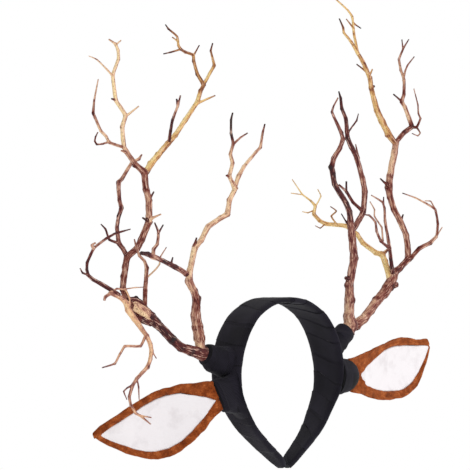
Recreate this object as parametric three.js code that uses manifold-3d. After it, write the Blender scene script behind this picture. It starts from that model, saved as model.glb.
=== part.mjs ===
// Reindeer antler headband: a ribbon-wound band carries two antlers of glued twigs in wound
// sleeves, and two cupped ears with felt linings on wound stems.
// Millimetres, +Z up, +X to the wearer's left, +Y to the back of the head.
// The origin is the inside of the band at its crown, where it sits on the head.
import * as THREE from 'three';
import { mergeVertices } from 'three/addons/utils/BufferGeometryUtils.js';
import Module from 'manifold-3d';

const wasm = await Module();
wasm.setup();

// Driving dimensions
const GAP = 0.3;              // clearance between pieces that meet
const PLANE_TURN = Math.PI * 40 / 180; // the twigs' drawing plane, turned from the front

const BAND_THICKNESS = 5.6;
const BAND_LEAN = { most: 10, from: -85, to: -163 }; // its tips lie in front of its crown
const BAND_CORNER = 1.5;      // width of the rounded edge of the wound band
const WRAP_COUNT = 22;        // turns of ribbon from tip to tip
const WRAP_LEAD = 4;          // how far a turn's edge runs along the band, across half its width
const WRAP_ROWS = [
  // share of a turn, how far the ribbon stands proud there
  [0.02, 0.6],
  [0.5, 0.3],
  [1, 0],
];
const SLEEVE_SIDES = 12;
const STEM_SIDES = 14;

const EAR_WALL = 2;           // suede shell
const EAR_RIM = 3.2;          // rolled border in front of the shell's floor
const EAR_RIM_OUTER = 1.9;    // its height at the outer edge
const EAR_RIM_INNER = 2.9;    // and at the inner edge
const EAR_FLAT = 2.6;         // floor of the unlined ends
const EAR_BORDER = 8;         // width of the rolled border
const EAR_BORDER_MOST = 0.5;  // the most the border takes of half the ear's width
const EAR_CUP = 9;            // depth of the hollow at the ear's widest section
const LINING_THICKNESS = 1.6; // felt
const LINING_LIFT = 0.45;     // clearance behind the felt
const LINING_INSET = 0.6;     // clearance round its edge
const EAR_SWEEP = Math.PI * 17.5 / 180; // how far the ears point back
const EAR_TONGUE = { length: 8, lap: 2, high: 18, deep: 6 }; // root of the shell, held in the stem
const BACK_SHARES = [-1, -0.6, -0.2, 0.2, 0.6, 1]; // points across the back of an ear
const FLOOR_SHARES = [0.45, 0, -0.45];             // and across its hollow

const LIMB_SIDES = [
  // girth over, sides
  [7, 8],
  [3.2, 6],
  [0, 5],
];

const WOOD = {
  bark: { color: 0x5b2b26, roughness: 0.75 },
  russet: { color: 0x7a4230, roughness: 0.75 },
  stripped: { color: 0xe0b868, roughness: 0.6 },
  pale: { color: 0xd9b48a, roughness: 0.65 },
};
const RIBBON = { color: 0x1c1b21, roughness: 0.8 };
const SUEDE = { color: 0x9a4a16, roughness: 0.95 };
const FELT = { color: 0xecebef, roughness: 0.95 };

// Half of the band from its crown to its tip: distance from the middle, height, half width
const BAND_ROWS = [
  // out, up, half width
  [0, 3, 22],
  [17, 1.6, 22.2],
  [31, -4, 22.4],
  [44, -13, 22.5],
  [54, -25.6, 22.6],
  [61, -40, 22.4],
  [65.5, -56, 22],
  [66.8, -72, 21.2],
  [64.3, -87, 19.8],
  [59, -99, 18.2],
  [43.5, -124, 15],
  [25.5, -142, 12.2],
  [11.5, -154, 10.6],
  [3, -163, 9.2],
];

// Wound sleeves round the antlers' feet, from the wall of the band to the mouth
const SLEEVES = {
  left: {
    rows: [
      // x, y, z, axis x, axis y, axis z, girth
      [-66, 1, -59, -1, 0, 0.05, 29],
      [-74, 1.5, -57, -1, 0.05, 0.2, 27],
      [-84, 2, -53.5, -1, 0.07, 0.33, 23.5],
      [-93.5, 3, -50, -1, 0.07, 0.33, 21.5],
    ],
    foot: 'left_beam',
  },
  right: {
    rows: [
      [62.5, 1, -46, 0.94, 0, 0.34, 28],
      [70, 1.5, -41.5, 0.9, 0.05, 0.45, 26],
      [81, 2, -34.5, 0.85, 0.07, 0.53, 23.5],
      [92, 3, -27.5, 0.8, 0.07, 0.6, 21.5],
    ],
    foot: 'right_trunk',
  },
};

// Wound stems of the ears, from the wall of the band to the ear's root
const STEMS = {
  left: [
    // x, y, z, axis x, axis z, high, deep
    [-63.5, -7, -91, -0.96, -0.28, 37, 22],
    [-72, -8, -91.5, -1, -0.28, 35, 20],
    [-84, -9, -92, -1, -0.3, 33, 17],
    [-92, -9, -92, -1, -0.3, 30, 13],
  ],
  right: [
    [66.8, -13, -73, 1, 0, 36, 22],
    [75, -12, -73, 1, 0.07, 35, 20],
    [88, -10.5, -73, 1, 0.14, 33.5, 17],
    [96, -9.5, -73, 1, 0.22, 30, 13],
  ],
};

const EARS = {
  left: { side: -1, root: [-92, -9, -92], tilt: -Math.PI * 17.3 / 180 },
  right: { side: 1, root: [96, -9.5, -73], tilt: Math.PI * 12.4 / 180 },
};

// Ear sections from the stem to the tip: distance along, upper edge, lower edge, share of the hollow
const EAR_ROWS = [
  // along, upper, lower, hollow
  [0.9, 12, -14, 0],
  [7, 15, -20, 0.1],
  [14, 17.3, -25.5, 0.25],
  [32, 21.5, -34, 0.6],
  [50, 23, -40, 0.9],
  [70, 22.4, -41.6, 1],
  [90, 18.4, -37, 0.85],
  [108, 13, -28.5, 0.55],
  [124, 8, -16.5, 0.2],
  [132, 4.2, -8.6, 0.05],
  [138, 0.8, -2, 0],
];
const LINING_FROM = 7;        // the felt starts at this section
const LINING_TO = 132;        // and ends at this one

// Twigs. Each limb is a table of sections: across and up on the drawing plane, back along +Y,
// girth. seats names the twigs that this one is glued to.
const TWIGS = {
  left_beam: {
    wood: 'bark',
    seats: [],
    limbs: [
      [
        // across, up, back, girth
        [-62, -56, 2, 13],
        [-72, -51.5, 3, 15],
        [-87, -47.5, 5, 9.8],
        [-97, -44, 7.5, 8.8],
        [-106, -35.8, 10, 9.2],
        [-118, -23.5, 14, 8.8],
        [-128, -14.3, 17, 12],
        [-135.5, -9, 19, 14],
        [-146, -1, 21, 12],
      ],
    ],
  },
  left_tine: {
    wood: 'russet',
    seats: ['left_beam'],
    limbs: [
      [
        [-78.5, -46, 4, 9.5],
        [-79, -35, 4, 11],
        [-80.6, -24, 2.5, 10.4],
        [-82.2, -12, 1, 9.6],
        [-80.8, 4, -1, 8.2],
        [-83.4, 12, -2, 7.2],
        [-88.8, 22, -3, 8],
        [-87.8, 33, -4, 5.8],
        [-86, 40, -6, 5],
        [-82, 56, -10, 5.2],
        [-76.6, 63, -12, 5.4],
        [-69.5, 76.5, -16, 5.6],
        [-57.3, 85, -18, 5.2],
        [-51.3, 89.3, -19, 5.6],
        [-49.5, 103, -20, 5],
        [-43.2, 116, -21, 5],
      ],
      [
        [-43.4, 115, -21, 4.4],
        [-47.9, 127, -25, 4],
        [-44.5, 140, -30, 3.8],
        [-47, 149, -33, 3.5],
        [-44.7, 159.3, -36, 3.1],
        [-46.7, 170, -40, 2.7],
        [-46.8, 183, -44, 2.3],
        [-45.2, 190.4, -46, 1.6],
      ],
      [
        [-44.7, 159, -36, 2.5],
        [-37.4, 165.5, -34, 2],
        [-30.5, 170, -31, 1.4],
      ],
    ],
  },
  left_tine_fork: {
    wood: 'russet',
    seats: ['left_tine'],
    limbs: [
      [
        [-43.4, 115, -21, 4.4],
        [-39.7, 127, -20, 4],
        [-34, 136.4, -17, 3.6],
        [-22, 151, -12, 3.2],
        [-17.5, 156, -10, 3],
        [-15, 171, -5, 2.4],
        [-13, 179, -2, 1.5],
      ],
    ],
  },
  left_side_branch: {
    wood: 'bark',
    seats: ['left_tine'],
    limbs: [
      [
        [-88.5, 30, -3.5, 4.5],
        [-93, 29.5, -5, 4.8],
        [-102.5, 36, -8, 4.6],
        [-115, 42.4, -12, 4.6],
        [-125, 46.6, -15, 4.8],
        [-130, 48.8, -16, 3.6],
        [-136.6, 50, -17, 2],
      ],
      [
        [-125, 47, -15, 3.6],
        [-124, 54, -17, 3.4],
        [-120.6, 59, -19, 3.2],
        [-119.4, 70.5, -24, 2.8],
        [-123.2, 80.4, -28, 1.4],
      ],
      [
        [-119.4, 70, -24, 2.2],
        [-114.6, 78.4, -25, 1.4],
      ],
    ],
  },
  left_crown: {
    wood: 'russet',
    seats: ['left_beam'],
    limbs: [
      [
        [-146, 0.5, 20.5, 5.6],
        [-151, 4, 21, 6.2],
        [-155, 14.4, 21, 6.2],
        [-153.9, 26.5, 21, 6.4],
        [-152.6, 36, 21, 6.4],
        [-150.2, 46.5, 21, 6.6],
        [-141, 54.5, 20, 6.4],
        [-136.8, 63.5, 20, 6.2],
        [-130, 82, 19, 6.2],
        [-129.6, 103, 20, 6.2],
        [-131.8, 114, 21, 6.4],
        [-134, 131, 23, 6.2],
        [-142.3, 138.6, 25, 5.2],
        [-151.8, 152, 27, 5],
        [-154, 156.4, 28, 4.6],
        [-155.6, 176, 31, 4.3],
        [-152.4, 187.5, 33, 4.2],
        [-157, 195.3, 35, 4],
        [-162, 203, 36, 4],
        [-165, 228, 39, 3.6],
        [-159.5, 244, 43, 3.2],
        [-159.8, 252.6, 45, 3],
        [-162.4, 259, 46, 2.8],
        [-169, 263.8, 47, 1.4],
      ],
      [
        [-162.4, 258, 46, 2],
        [-157, 262.7, 49, 1.3],
      ],
      [
        [-165, 227, 39, 2.6],
        [-170.8, 233.6, 36, 2.4],
        [-181, 243.6, 30, 2.1],
        [-189, 247.2, 26, 1.3],
      ],
      [
        [-153.5, 187, 33, 2.4],
        [-149.3, 189, 31, 2.3],
        [-139, 197, 25, 1.4],
      ],
      [
        [-129.6, 81, 19, 2.6],
        [-124.5, 85.5, 15, 2.4],
        [-116.7, 89, 10, 1.4],
      ],
    ],
  },
  left_crown_spray: {
    wood: 'russet',
    seats: ['left_crown'],
    limbs: [
      [
        [-155, 156, 28, 3.2],
        [-168.6, 160.8, 23, 3],
        [-171.6, 166.6, 20, 3],
        [-177, 172.4, 17, 3],
        [-183, 186, 12, 2.8],
        [-184.6, 190, 11, 3],
        [-183.6, 203, 8, 2],
        [-179.6, 224, 4, 1.2],
      ],
      [
        [-168, 161.6, 23.4, 2.2],
        [-175, 159.3, 22, 2],
        [-181, 158.9, 22, 1.9],
        [-183, 162, 23, 1.8],
        [-182.3, 166.2, 25, 1.6],
        [-180, 171, 27, 1.1],
      ],
    ],
  },
  left_crown_fork: {
    wood: 'stripped',
    seats: ['left_crown'],
    limbs: [
      [
        [-134, 128, 22.5, 5],
        [-131.5, 131.6, 24, 6.4],
        [-126.8, 139.2, 27, 6.4],
        [-119.8, 148.2, 31, 6],
        [-110, 159.5, 36, 5.6],
        [-102.5, 168.3, 40, 5],
        [-92.4, 183.4, 45, 4.8],
        [-80.8, 201, 50, 4.6],
        [-77.3, 212, 52, 4.2],
        [-74.4, 218.5, 53, 4.2],
        [-80.5, 229, 57, 3.4],
        [-84, 242, 60, 3.2],
        [-84.6, 248, 61, 3],
        [-92.3, 251, 60, 2.8],
        [-97, 254, 59, 2.8],
        [-99.3, 257.5, 59, 2.6],
        [-100.6, 266.4, 57, 2.2],
        [-109.5, 274.4, 52, 1.9],
        [-112.4, 278.5, 50, 1.2],
      ],
      [
        [-96.5, 254, 59, 2],
        [-107, 251, 63, 1.8],
        [-114.5, 249.2, 65, 1.2],
      ],
      [
        [-84.6, 247, 61, 2],
        [-78.6, 257.8, 65, 1.2],
      ],
      [
        [-80, 200, 50, 2.4],
        [-70, 204.5, 47, 2],
        [-62.6, 207.7, 44, 1.2],
      ],
    ],
  },
  left_crown_tip: {
    wood: 'stripped',
    seats: ['left_crown_fork'],
    limbs: [
      [
        [-74, 218.8, 53, 3.2],
        [-71.7, 223, 51, 3.2],
        [-67.8, 230.2, 48, 3],
        [-63.8, 237.6, 45, 3.2],
        [-65, 243.8, 43, 2.5],
        [-67, 252.4, 40, 2],
        [-65.2, 260, 37, 1.4],
      ],
    ],
  },
  left_dark_twig: {
    wood: 'bark',
    seats: ['left_crown_fork'],
    limbs: [
      [
        [-109.5, 158, 36, 3.4],
        [-107.3, 172, 32, 3.2],
        [-105.4, 183, 28, 3],
        [-100, 197.5, 23, 2.5],
        [-97.4, 207.7, 19, 1.5],
      ],
    ],
  },
  left_upright: {
    wood: 'bark',
    seats: ['left_crown'],
    limbs: [
      [
        [-150.6, 47, 21, 4.4],
        [-152, 49, 25, 4.6],
        [-155, 54.5, 28, 4.4],
        [-159, 60.3, 31, 4.6],
        [-160.8, 76, 35, 4],
        [-158.3, 87, 38, 4],
        [-155.6, 95.3, 40, 4.4],
        [-157.8, 103, 42, 4],
        [-159.2, 120.4, 47, 4.6],
        [-155.7, 124.6, 49, 3.8],
        [-146, 140.5, 54, 3.4],
        [-139, 144.3, 57, 3],
        [-136, 148.5, 59, 1.6],
      ],
      [
        [-159, 60, 31, 2.8],
        [-168.5, 63.5, 33, 2.5],
        [-172.3, 74, 37, 2],
        [-177, 79, 40, 1.2],
      ],
    ],
  },
  left_sprig: {
    wood: 'russet',
    seats: ['left_beam'],
    limbs: [
      [
        [-133, -5, 18.5, 3.6],
        [-132.3, 13, 12, 3.6],
        [-131.2, 35, 5, 3.4],
        [-133.4, 42, 3, 3],
        [-138.5, 47.5, 2, 2.8],
        [-142, 58.4, 1, 2.2],
        [-143.6, 64, 0, 1.2],
      ],
      [
        [-132.5, 24, 8.5, 1.9],
        [-122, 34, 8, 1.7],
        [-118.4, 39, 7, 1.6],
        [-117.8, 45.6, 6, 1.5],
        [-111.4, 56, 5, 1],
      ],
    ],
  },
  left_droop: {
    wood: 'pale',
    seats: ['left_beam', 'left_crown'],
    limbs: [
      [
        [-173.6, 2.6, 13, 2.4],
        [-172.4, 6.4, 13, 3.2],
        [-167.5, 9.4, 14, 3.4],
        [-163.4, 8.2, 15, 3.8],
        [-155.4, 4.4, 17, 5],
        [-151, -1, 18.2, 6],
        [-149.6, -7, 15.5, 6.2],
        [-144.6, -15.5, 11, 5.8],
        [-137, -26, 5.5, 5],
        [-131.8, -33, 3, 4.4],
        [-127.6, -41, 1, 4.4],
        [-126.4, -48, -1, 4.2],
        [-127.6, -56, -4, 4],
        [-130.5, -64, -7, 4],
        [-141, -75.5, -10, 3.6],
        [-145, -82, -12, 3.4],
        [-148.6, -94, -15, 3],
        [-147, -101.6, -16, 2.8],
        [-142, -110, -17, 2.6],
        [-137, -113, -17, 2.4],
        [-127.2, -121, -18, 1.3],
      ],
      [
        [-138, -112.5, -17, 1.8],
        [-126.6, -114.4, -21, 1.2],
      ],
      [
        [-141, -75, -10, 1.8],
        [-139.3, -83.8, -14, 1.6],
        [-138.7, -96.5, -19, 1],
      ],
      [
        [-145, -81.5, -12, 1.8],
        [-150.8, -85, -10, 1.6],
        [-154, -88.3, -9, 1.5],
        [-151, -96.5, -8, 1],
      ],
    ],
  },
  left_zigzag: {
    wood: 'pale',
    seats: ['left_droop'],
    limbs: [
      [
        [-132, -32, 3, 3],
        [-137.2, -42, -2, 2.8],
        [-153.2, -42.2, -8, 2.6],
        [-158.3, -50, -12, 2.4],
        [-163.4, -60.3, -16, 2.2],
        [-175.5, -64.5, -21, 1.2],
      ],
    ],
  },
  left_curl: {
    wood: 'bark',
    seats: ['left_droop'],
    limbs: [
      [
        [-163.4, 9.2, 15, 2.8],
        [-167.2, 13.7, 15.5, 3.2],
        [-176, 19.5, 17, 3.2],
        [-184, 24, 19.5, 3.2],
        [-189.5, 28.4, 21, 3.4],
      ],
      [
        [-189.2, 28.2, 21, 2.2],
        [-195.2, 30.3, 19, 2],
        [-197.8, 34.8, 18, 1.2],
      ],
    ],
  },
  left_curl_top: {
    wood: 'bark',
    seats: ['left_curl'],
    limbs: [
      [
        [-189.5, 28.4, 21, 3],
        [-191, 33.5, 22, 3],
        [-190.6, 40.5, 23, 3],
        [-188, 49, 22, 2.9],
        [-185.7, 54.5, 20, 3],
        [-171.6, 64.7, 14, 2.6],
        [-163.4, 69.2, 11, 2.4],
        [-155.7, 71.7, 8, 2],
        [-147.4, 74, 5, 1.2],
      ],
    ],
  },
  right_trunk: {
    wood: 'bark',
    seats: [],
    limbs: [
      [
        [63, -36, 2, 12.5],
        [69, -28, 3, 14.5],
        [72.5, -22, 3.5, 14],
        [72, -13, 3, 10.2],
        [72.6, 3, 1, 10],
        [72.2, 18, 0, 8.4],
        [73.8, 31, -1, 8],
        [76, 45, -2, 8.2],
        [74.5, 64, -4, 7.8],
        [73, 76, -6, 7.4],
        [71.7, 91, -10, 5.6],
        [69.2, 100, -13, 5.6],
        [57.8, 119, -18, 5.4],
        [55, 130, -21, 5.6],
        [53.8, 136, -22, 5.6],
        [56, 145, -24, 5],
        [62, 155, -26, 4.6],
        [65, 164, -28, 4.4],
        [63.4, 170.3, -30, 3.8],
        [54.2, 191, -37, 2.6],
        [55.8, 197, -40, 1.8],
        [60.2, 205.4, -43, 1.4],
      ],
    ],
  },
  right_trunk_fork: {
    wood: 'bark',
    seats: ['right_trunk'],
    limbs: [
      [
        [74, 71, -5, 5],
        [77.5, 77, -2.5, 5.6],
        [85, 91, 2, 5.8],
        [87, 111.5, 6, 5.8],
        [84.5, 125, 7, 5.4],
        [78.7, 146, 6, 5.2],
        [73.6, 156.3, 4, 5],
        [69.8, 165, 2, 4.8],
        [68, 184.4, -5, 4],
        [64, 194.6, -9, 3.4],
        [62.8, 205, -13, 2.6],
        [61, 211.5, -15, 1.4],
      ],
      [
        [69.8, 164, 2, 2],
        [71, 171.6, 4, 1.9],
        [78.7, 182.5, 9, 1.7],
        [80.6, 189.5, 12, 1],
      ],
      [
        [85, 92, 2, 3.4],
        [75, 101, 7, 3.2],
        [68.5, 111.5, 11, 3],
        [61, 118.5, 13, 1.8],
      ],
      [
        [68.5, 110.5, 11, 2.2],
        [68.5, 121.5, 15, 1.8],
      ],
    ],
  },
  right_beam: {
    wood: 'russet',
    seats: ['right_trunk'],
    limbs: [
      [
        [72, -21, 3.5, 10],
        [78.5, -21, 6, 10],
        [85.5, -15.6, 8, 9.6],
        [92.5, -7, 10, 9],
        [99, 2.2, 12, 9.4],
        [106, 10.2, 14, 10],
        [111.5, 18, 16, 11],
        [114.5, 25, 18, 10],
        [117.5, 31.5, 19, 7.5],
        [122, 35, 20, 6.4],
        [129.5, 45, 22, 6.4],
        [127.5, 68, 24, 6],
        [123, 82, 25, 6],
        [116.6, 94, 26, 6],
        [112.2, 106, 27, 6],
        [111.2, 116, 28, 8],
        [112.6, 127, 29, 6],
        [117, 150, 31, 5.6],
        [118.2, 161.4, 32, 6.4],
      ],
    ],
  },
  right_golden: {
    wood: 'stripped',
    seats: ['right_beam'],
    limbs: [
      [
        [117, 160, 32, 5.6],
        [110.6, 169, 31, 6.6],
        [104, 182, 28, 6.4],
        [99, 193, 25, 6],
        [93.4, 215, 19, 4.8],
        [92, 225, 16, 4.6],
        [85.4, 240.5, 11, 4.2],
        [79.6, 250.6, 8, 3.8],
        [73.6, 261, 3, 3],
        [66, 270.5, -2, 2.4],
        [65.3, 275.6, -4, 2.2],
        [61.5, 284.5, -8, 1.3],
      ],
      [
        [79.8, 250, 8, 3],
        [76, 270, 9, 2.6],
        [74.4, 286.4, 10, 2.4],
        [69.8, 293, 9, 2],
        [59, 303, 6, 1.6],
        [52, 310, 4, 1],
      ],
      [
        [89, 231, 14, 2.2],
        [78.7, 239, 17, 1.2],
      ],
    ],
  },
  right_fan: {
    wood: 'russet',
    seats: ['right_beam', 'right_golden'],
    limbs: [
      [
        [118, 161, 32, 4.6],
        [126, 170.3, 34, 5],
        [133.6, 176.7, 36, 5],
        [131, 185.7, 38, 4.4],
        [127, 196, 40, 4],
        [124, 201.6, 41, 4],
        [126, 208.6, 43, 3.4],
        [126.2, 223.3, 46, 3],
        [123, 233, 49, 2.6],
        [121.2, 243.7, 52, 2.4],
        [125.4, 254.5, 54, 2],
        [131, 263.8, 57, 1.1],
      ],
      [
        [125.2, 254, 54, 1.7],
        [124, 263.7, 53, 1.1],
      ],
      [
        [125.7, 222.5, 46, 2],
        [127.2, 231.6, 45, 1.9],
        [129.8, 238, 43, 1.7],
        [136.5, 246.6, 40, 1.1],
      ],
      [
        [124.3, 201.4, 41, 2.2],
        [115.5, 209, 46, 1.4],
      ],
      [
        [133, 176.5, 36, 3],
        [138.7, 176, 33, 2.6],
        [142.5, 184.4, 29, 2],
        [140.6, 189.5, 27, 1.8],
        [140, 198.4, 24, 1.5],
        [136, 214.4, 19, 1],
      ],
    ],
  },
  right_hook: {
    wood: 'russet',
    seats: ['right_beam'],
    limbs: [
      [
        [128.5, 43.5, 21.5, 4.4],
        [134, 44.8, 19, 4.4],
        [142, 53.6, 14, 4.4],
        [152.4, 60.4, 9, 4],
        [158.8, 67, 5, 3.2],
      ],
      [
        [158.5, 66.6, 5, 1.8],
        [164.4, 76, 8, 1],
      ],
    ],
  },
  right_hook_top: {
    wood: 'russet',
    seats: ['right_hook'],
    limbs: [
      [
        [158.8, 67, 5, 2.8],
        [160, 79.4, 1, 2.6],
        [157.8, 94.2, -3, 2.4],
        [149.4, 100.8, -6, 2.1],
        [137.4, 106, -9, 1.7],
        [124.7, 110, -11, 1.1],
      ],
    ],
  },
  right_yellow: {
    wood: 'stripped',
    seats: ['right_beam'],
    limbs: [
      [
        [112, 23, 17.5, 6],
        [109.8, 33, 21, 6],
        [106.8, 42, 24, 5.6],
        [104, 48.5, 26, 6.2],
        [98, 50.6, 28, 5],
        [85, 60.4, 32, 4.8],
        [79.2, 68.6, 35, 4.6],
        [68.5, 77, 39, 4.4],
        [48, 79.4, 45, 4],
        [41.7, 82.6, 47, 3.8],
        [36, 89, 49, 3.6],
        [37.3, 97, 51, 3],
        [32.8, 102.4, 53, 2.4],
        [24.5, 108.8, 56, 2.2],
        [14.3, 123.8, 61, 1.1],
      ],
      [
        [104, 48, 26, 3.4],
        [110, 53.5, 30, 3],
      ],
      [
        [25, 108.4, 56, 1.6],
        [13, 110, 54, 1],
      ],
      [
        [37.3, 96, 51, 2],
        [43, 107, 48, 1.7],
        [39.8, 114, 45, 1],
      ],
      [
        [59, 78.5, 42, 1.8],
        [54, 88.6, 38, 1.7],
        [60, 92.4, 35, 1.5],
        [52.6, 97.4, 32, 1],
      ],
    ],
  },
  right_sprig: {
    wood: 'bark',
    seats: ['right_beam', 'right_yellow'],
    limbs: [
      [
        [115.5, 27, 17.5, 4.2],
        [114, 36, 13, 4.2],
        [113, 44, 10, 3.8],
        [112.8, 55, 7, 3.6],
        [108.4, 82, 2, 2.8],
        [107.8, 95, 0, 2.4],
        [105.5, 101, -1, 2.2],
        [93.4, 108, -5, 1.1],
      ],
      [
        [105.6, 100, -1, 1.6],
        [105.8, 106, 2, 1.2],
      ],
      [
        [112.5, 55, 7, 3],
        [104, 63, 3, 2.8],
        [99.8, 72, -1, 2.6],
        [98.8, 81, -4, 2.3],
        [91.5, 87.7, -8, 2],
        [87.7, 88.4, -10, 1.3],
      ],
      [
        [105, 62.3, 3.5, 1.8],
        [103.8, 75.6, 6, 1.7],
        [96.6, 87, 9, 1.6],
        [96.6, 93.5, 11, 1.4],
        [92, 101.7, 14, 1],
      ],
    ],
  },
};

// Solids
function solid(geometry) {
  geometry.deleteAttribute('normal');
  geometry.deleteAttribute('uv');
  const merged = mergeVertices(geometry);
  return new wasm.Manifold(new wasm.Mesh({
    numProp: 3,
    vertProperties: merged.getAttribute('position').array,
    triVerts: new Uint32Array(merged.index.array),
  }));
}

// One closed solid through rings of equally many points, each clockwise seen along the loft
function loft(rings) {
  const sides = rings[0].length;
  const geometry = new THREE.CylinderGeometry(1, 1, 1, sides, rings.length - 1);
  const position = geometry.getAttribute('position');
  let index = 0;
  const put = (point) => {
    position.setXYZ(index, point.x, point.y, point.z);
    index += 1;
  };
  const putRing = (ring) => {
    ring.forEach(put);
    put(ring[0]);
  };
  rings.forEach(putRing);
  for (const ring of [rings[0], rings.at(-1)]) {
    const middle = new THREE.Vector3();
    ring.forEach((point) => middle.addScaledVector(point, 1 / sides));
    ring.forEach(() => put(middle));
    putRing(ring);
  }
  return solid(geometry);
}

// An oval ring across an axis: its height is measured upright, its depth level
function ovalRing(at, axis, high, deep, sides) {
  const along = axis.clone().normalize();
  const upright = new THREE.Vector3(0, 0, 1).projectOnPlane(along).normalize();
  const level = along.clone().cross(upright);
  return Array.from({ length: sides }, (_, side) => {
    const angle = -2 * Math.PI * side / sides;
    return at.clone()
      .addScaledVector(upright, high / 2 * Math.cos(angle))
      .addScaledVector(level, deep / 2 * Math.sin(angle));
  });
}

function piece(name, body, finish) {
  const { vertProperties, triVerts } = body.getMesh();
  const geometry = new THREE.BufferGeometry();
  geometry.setAttribute('position', new THREE.BufferAttribute(new Float32Array(vertProperties), 3));
  geometry.setIndex(new THREE.BufferAttribute(new Uint32Array(triVerts), 1));
  geometry.computeVertexNormals();
  const mesh = new THREE.Mesh(geometry, new THREE.MeshStandardMaterial({ ...finish, metalness: 0 }));
  mesh.name = name;
  return mesh;
}

// Twigs
function place([across, up, back]) {
  const x = (across + back * Math.sin(PLANE_TURN)) / Math.cos(PLANE_TURN);
  return new THREE.Vector3(x, back, up);
}

function limbSides(rows) {
  const most = Math.max(...rows.map(([, , , girth]) => girth));
  const [, sides] = LIMB_SIDES.find(([over]) => most > over);
  return sides;
}

// A limb's rings stand across the line from the section before to the section after
function limb(rows, grow) {
  const points = rows.map(place);
  const last = points.length - 1;
  const sides = limbSides(rows);
  const normal = new THREE.Vector3(0, 1, 0);
  const rings = points.map((point, index) => {
    const along = points[Math.min(index + 1, last)].clone()
      .sub(points[Math.max(index - 1, 0)])
      .normalize();
    normal.projectOnPlane(along).normalize();
    const level = along.clone().cross(normal);
    const [, , , girth] = rows[index];
    const radius = girth / 2 + grow;
    const end = (index === last) - (index === 0);
    const centre = point.clone().addScaledVector(along, end * grow);
    return Array.from({ length: sides }, (_, side) => {
      const angle = -2 * Math.PI * side / sides;
      return centre.clone()
        .addScaledVector(normal, radius * Math.cos(angle))
        .addScaledVector(level, radius * Math.sin(angle));
    });
  });
  return loft(rings);
}

function twig(name, grow = 0) {
  return TWIGS[name].limbs
    .map((rows) => limb(rows, grow))
    .reduce((whole, next) => whole.add(next));
}

function gluedTwig(name) {
  return TWIGS[name].seats.reduce((body, seat) => body.subtract(twig(seat, GAP)), twig(name));
}

// Band: a curve from the left tip over the crown to the right tip, with the half width kept in y
function bandCurve() {
  const right = BAND_ROWS.map(([out, up, half]) => new THREE.Vector3(out, half, up));
  const left = right.slice(1).reverse().map(({ x, y, z }) => new THREE.Vector3(-x, y, z));
  return new THREE.CatmullRomCurve3([...left, ...right]);
}

function bandLean(height) {
  const { most, from, to } = BAND_LEAN;
  return most * THREE.MathUtils.clamp((height - from) / (to - from), 0, 1) ** 1.5;
}

// The band's section at a share of its length, with the ribbon standing proud by a lift
function bandRing(curve, share, lift) {
  const half = curve.getPointAt(share).y + lift / 2;
  const thick = BAND_THICKNESS / 2 + lift;
  const inset = half - BAND_CORNER;
  const corners = [
    // width, depth
    [-half, -thick / 2],
    [-half, thick / 2],
    [-inset, thick],
    [inset, thick],
    [half, thick / 2],
    [half, -thick / 2],
    [inset, -thick],
    [-inset, -thick],
  ];
  const fromTip = Math.min(share, 1 - share);
  const lead = WRAP_LEAD * Math.min(1, fromTip * WRAP_COUNT / 2) / curve.getLength();
  return corners.map(([width, depth]) => {
    const slant = lead * Math.sign(depth) * width / half;
    const shifted = THREE.MathUtils.clamp(share + slant, 0, 1);
    const { x, z } = curve.getPointAt(shifted);
    const along = curve.getTangentAt(shifted).setY(0).normalize();
    return new THREE.Vector3(x - along.z * depth, width - bandLean(z), z + along.x * depth);
  });
}

function band(grow = 0) {
  const curve = bandCurve();
  const rings = [];
  for (let wrap = 0; wrap < WRAP_COUNT; wrap++) {
    for (const [part, lift] of WRAP_ROWS) {
      rings.push(bandRing(curve, (wrap + part) / WRAP_COUNT, lift + grow));
    }
  }
  return loft([bandRing(curve, 0, grow), ...rings]);
}

// Sleeves and stems are wound onto the band, and each is cut back to clear what it holds
function sleeve({ rows, foot }) {
  const body = loft(rows.map(([x, y, z, axisX, axisY, axisZ, girth]) => ovalRing(
    new THREE.Vector3(x, y, z),
    new THREE.Vector3(axisX, axisY, axisZ),
    girth,
    girth,
    SLEEVE_SIDES,
  )));
  return body.subtract(band(GAP)).subtract(twig(foot, GAP));
}

// Axes of an ear: along its length, up across its width, and out of its hollow
function earAxes({ side, tilt }) {
  const level = new THREE.Vector3(side * Math.cos(EAR_SWEEP), Math.sin(EAR_SWEEP), 0);
  const upright = new THREE.Vector3(0, 0, 1);
  const along = level.clone().multiplyScalar(Math.cos(tilt)).addScaledVector(upright, Math.sin(tilt));
  const up = upright.clone().multiplyScalar(Math.cos(tilt)).addScaledVector(level, -Math.sin(tilt));
  const out = up.clone().cross(along).multiplyScalar(side).negate();
  return { along, up, out };
}

function earTongue(ear, grow) {
  const { along } = earAxes(ear);
  const root = new THREE.Vector3(...ear.root);
  const { length, lap, high, deep } = EAR_TONGUE;
  const rings = [-length - grow, lap].map((reach) => ovalRing(
    root.clone().addScaledVector(along, reach),
    along,
    high + 2 * grow,
    deep + 2 * grow,
    STEM_SIDES,
  ));
  return loft(rings);
}

function stem(rows, ear) {
  const rings = rows.map(([x, y, z, axisX, axisZ, high, deep], index) => ovalRing(
    new THREE.Vector3(x, y, z),
    new THREE.Vector3(axisX, Math.tan(EAR_SWEEP) * index / (rows.length - 1), axisZ),
    high,
    deep,
    STEM_SIDES,
  ));
  return loft(rings).subtract(band(GAP)).subtract(earTongue(ear, GAP));
}

// A section of an ear from rows of [share of its half width, height in front of the hollow's floor]
function earRing(ear, [distance, upper, lower, hollow], profile) {
  const { along, up, out } = earAxes(ear);
  const middle = (upper + lower) / 2;
  const half = (upper - lower) / 2;
  const ring = profile(half).map(([share, height]) => new THREE.Vector3(...ear.root)
    .addScaledVector(along, distance)
    .addScaledVector(up, middle + half * share)
    .addScaledVector(out, height - hollow * EAR_CUP * (1 - share * share)));
  return ear.side > 0 ? ring.reverse() : ring;
}

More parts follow.
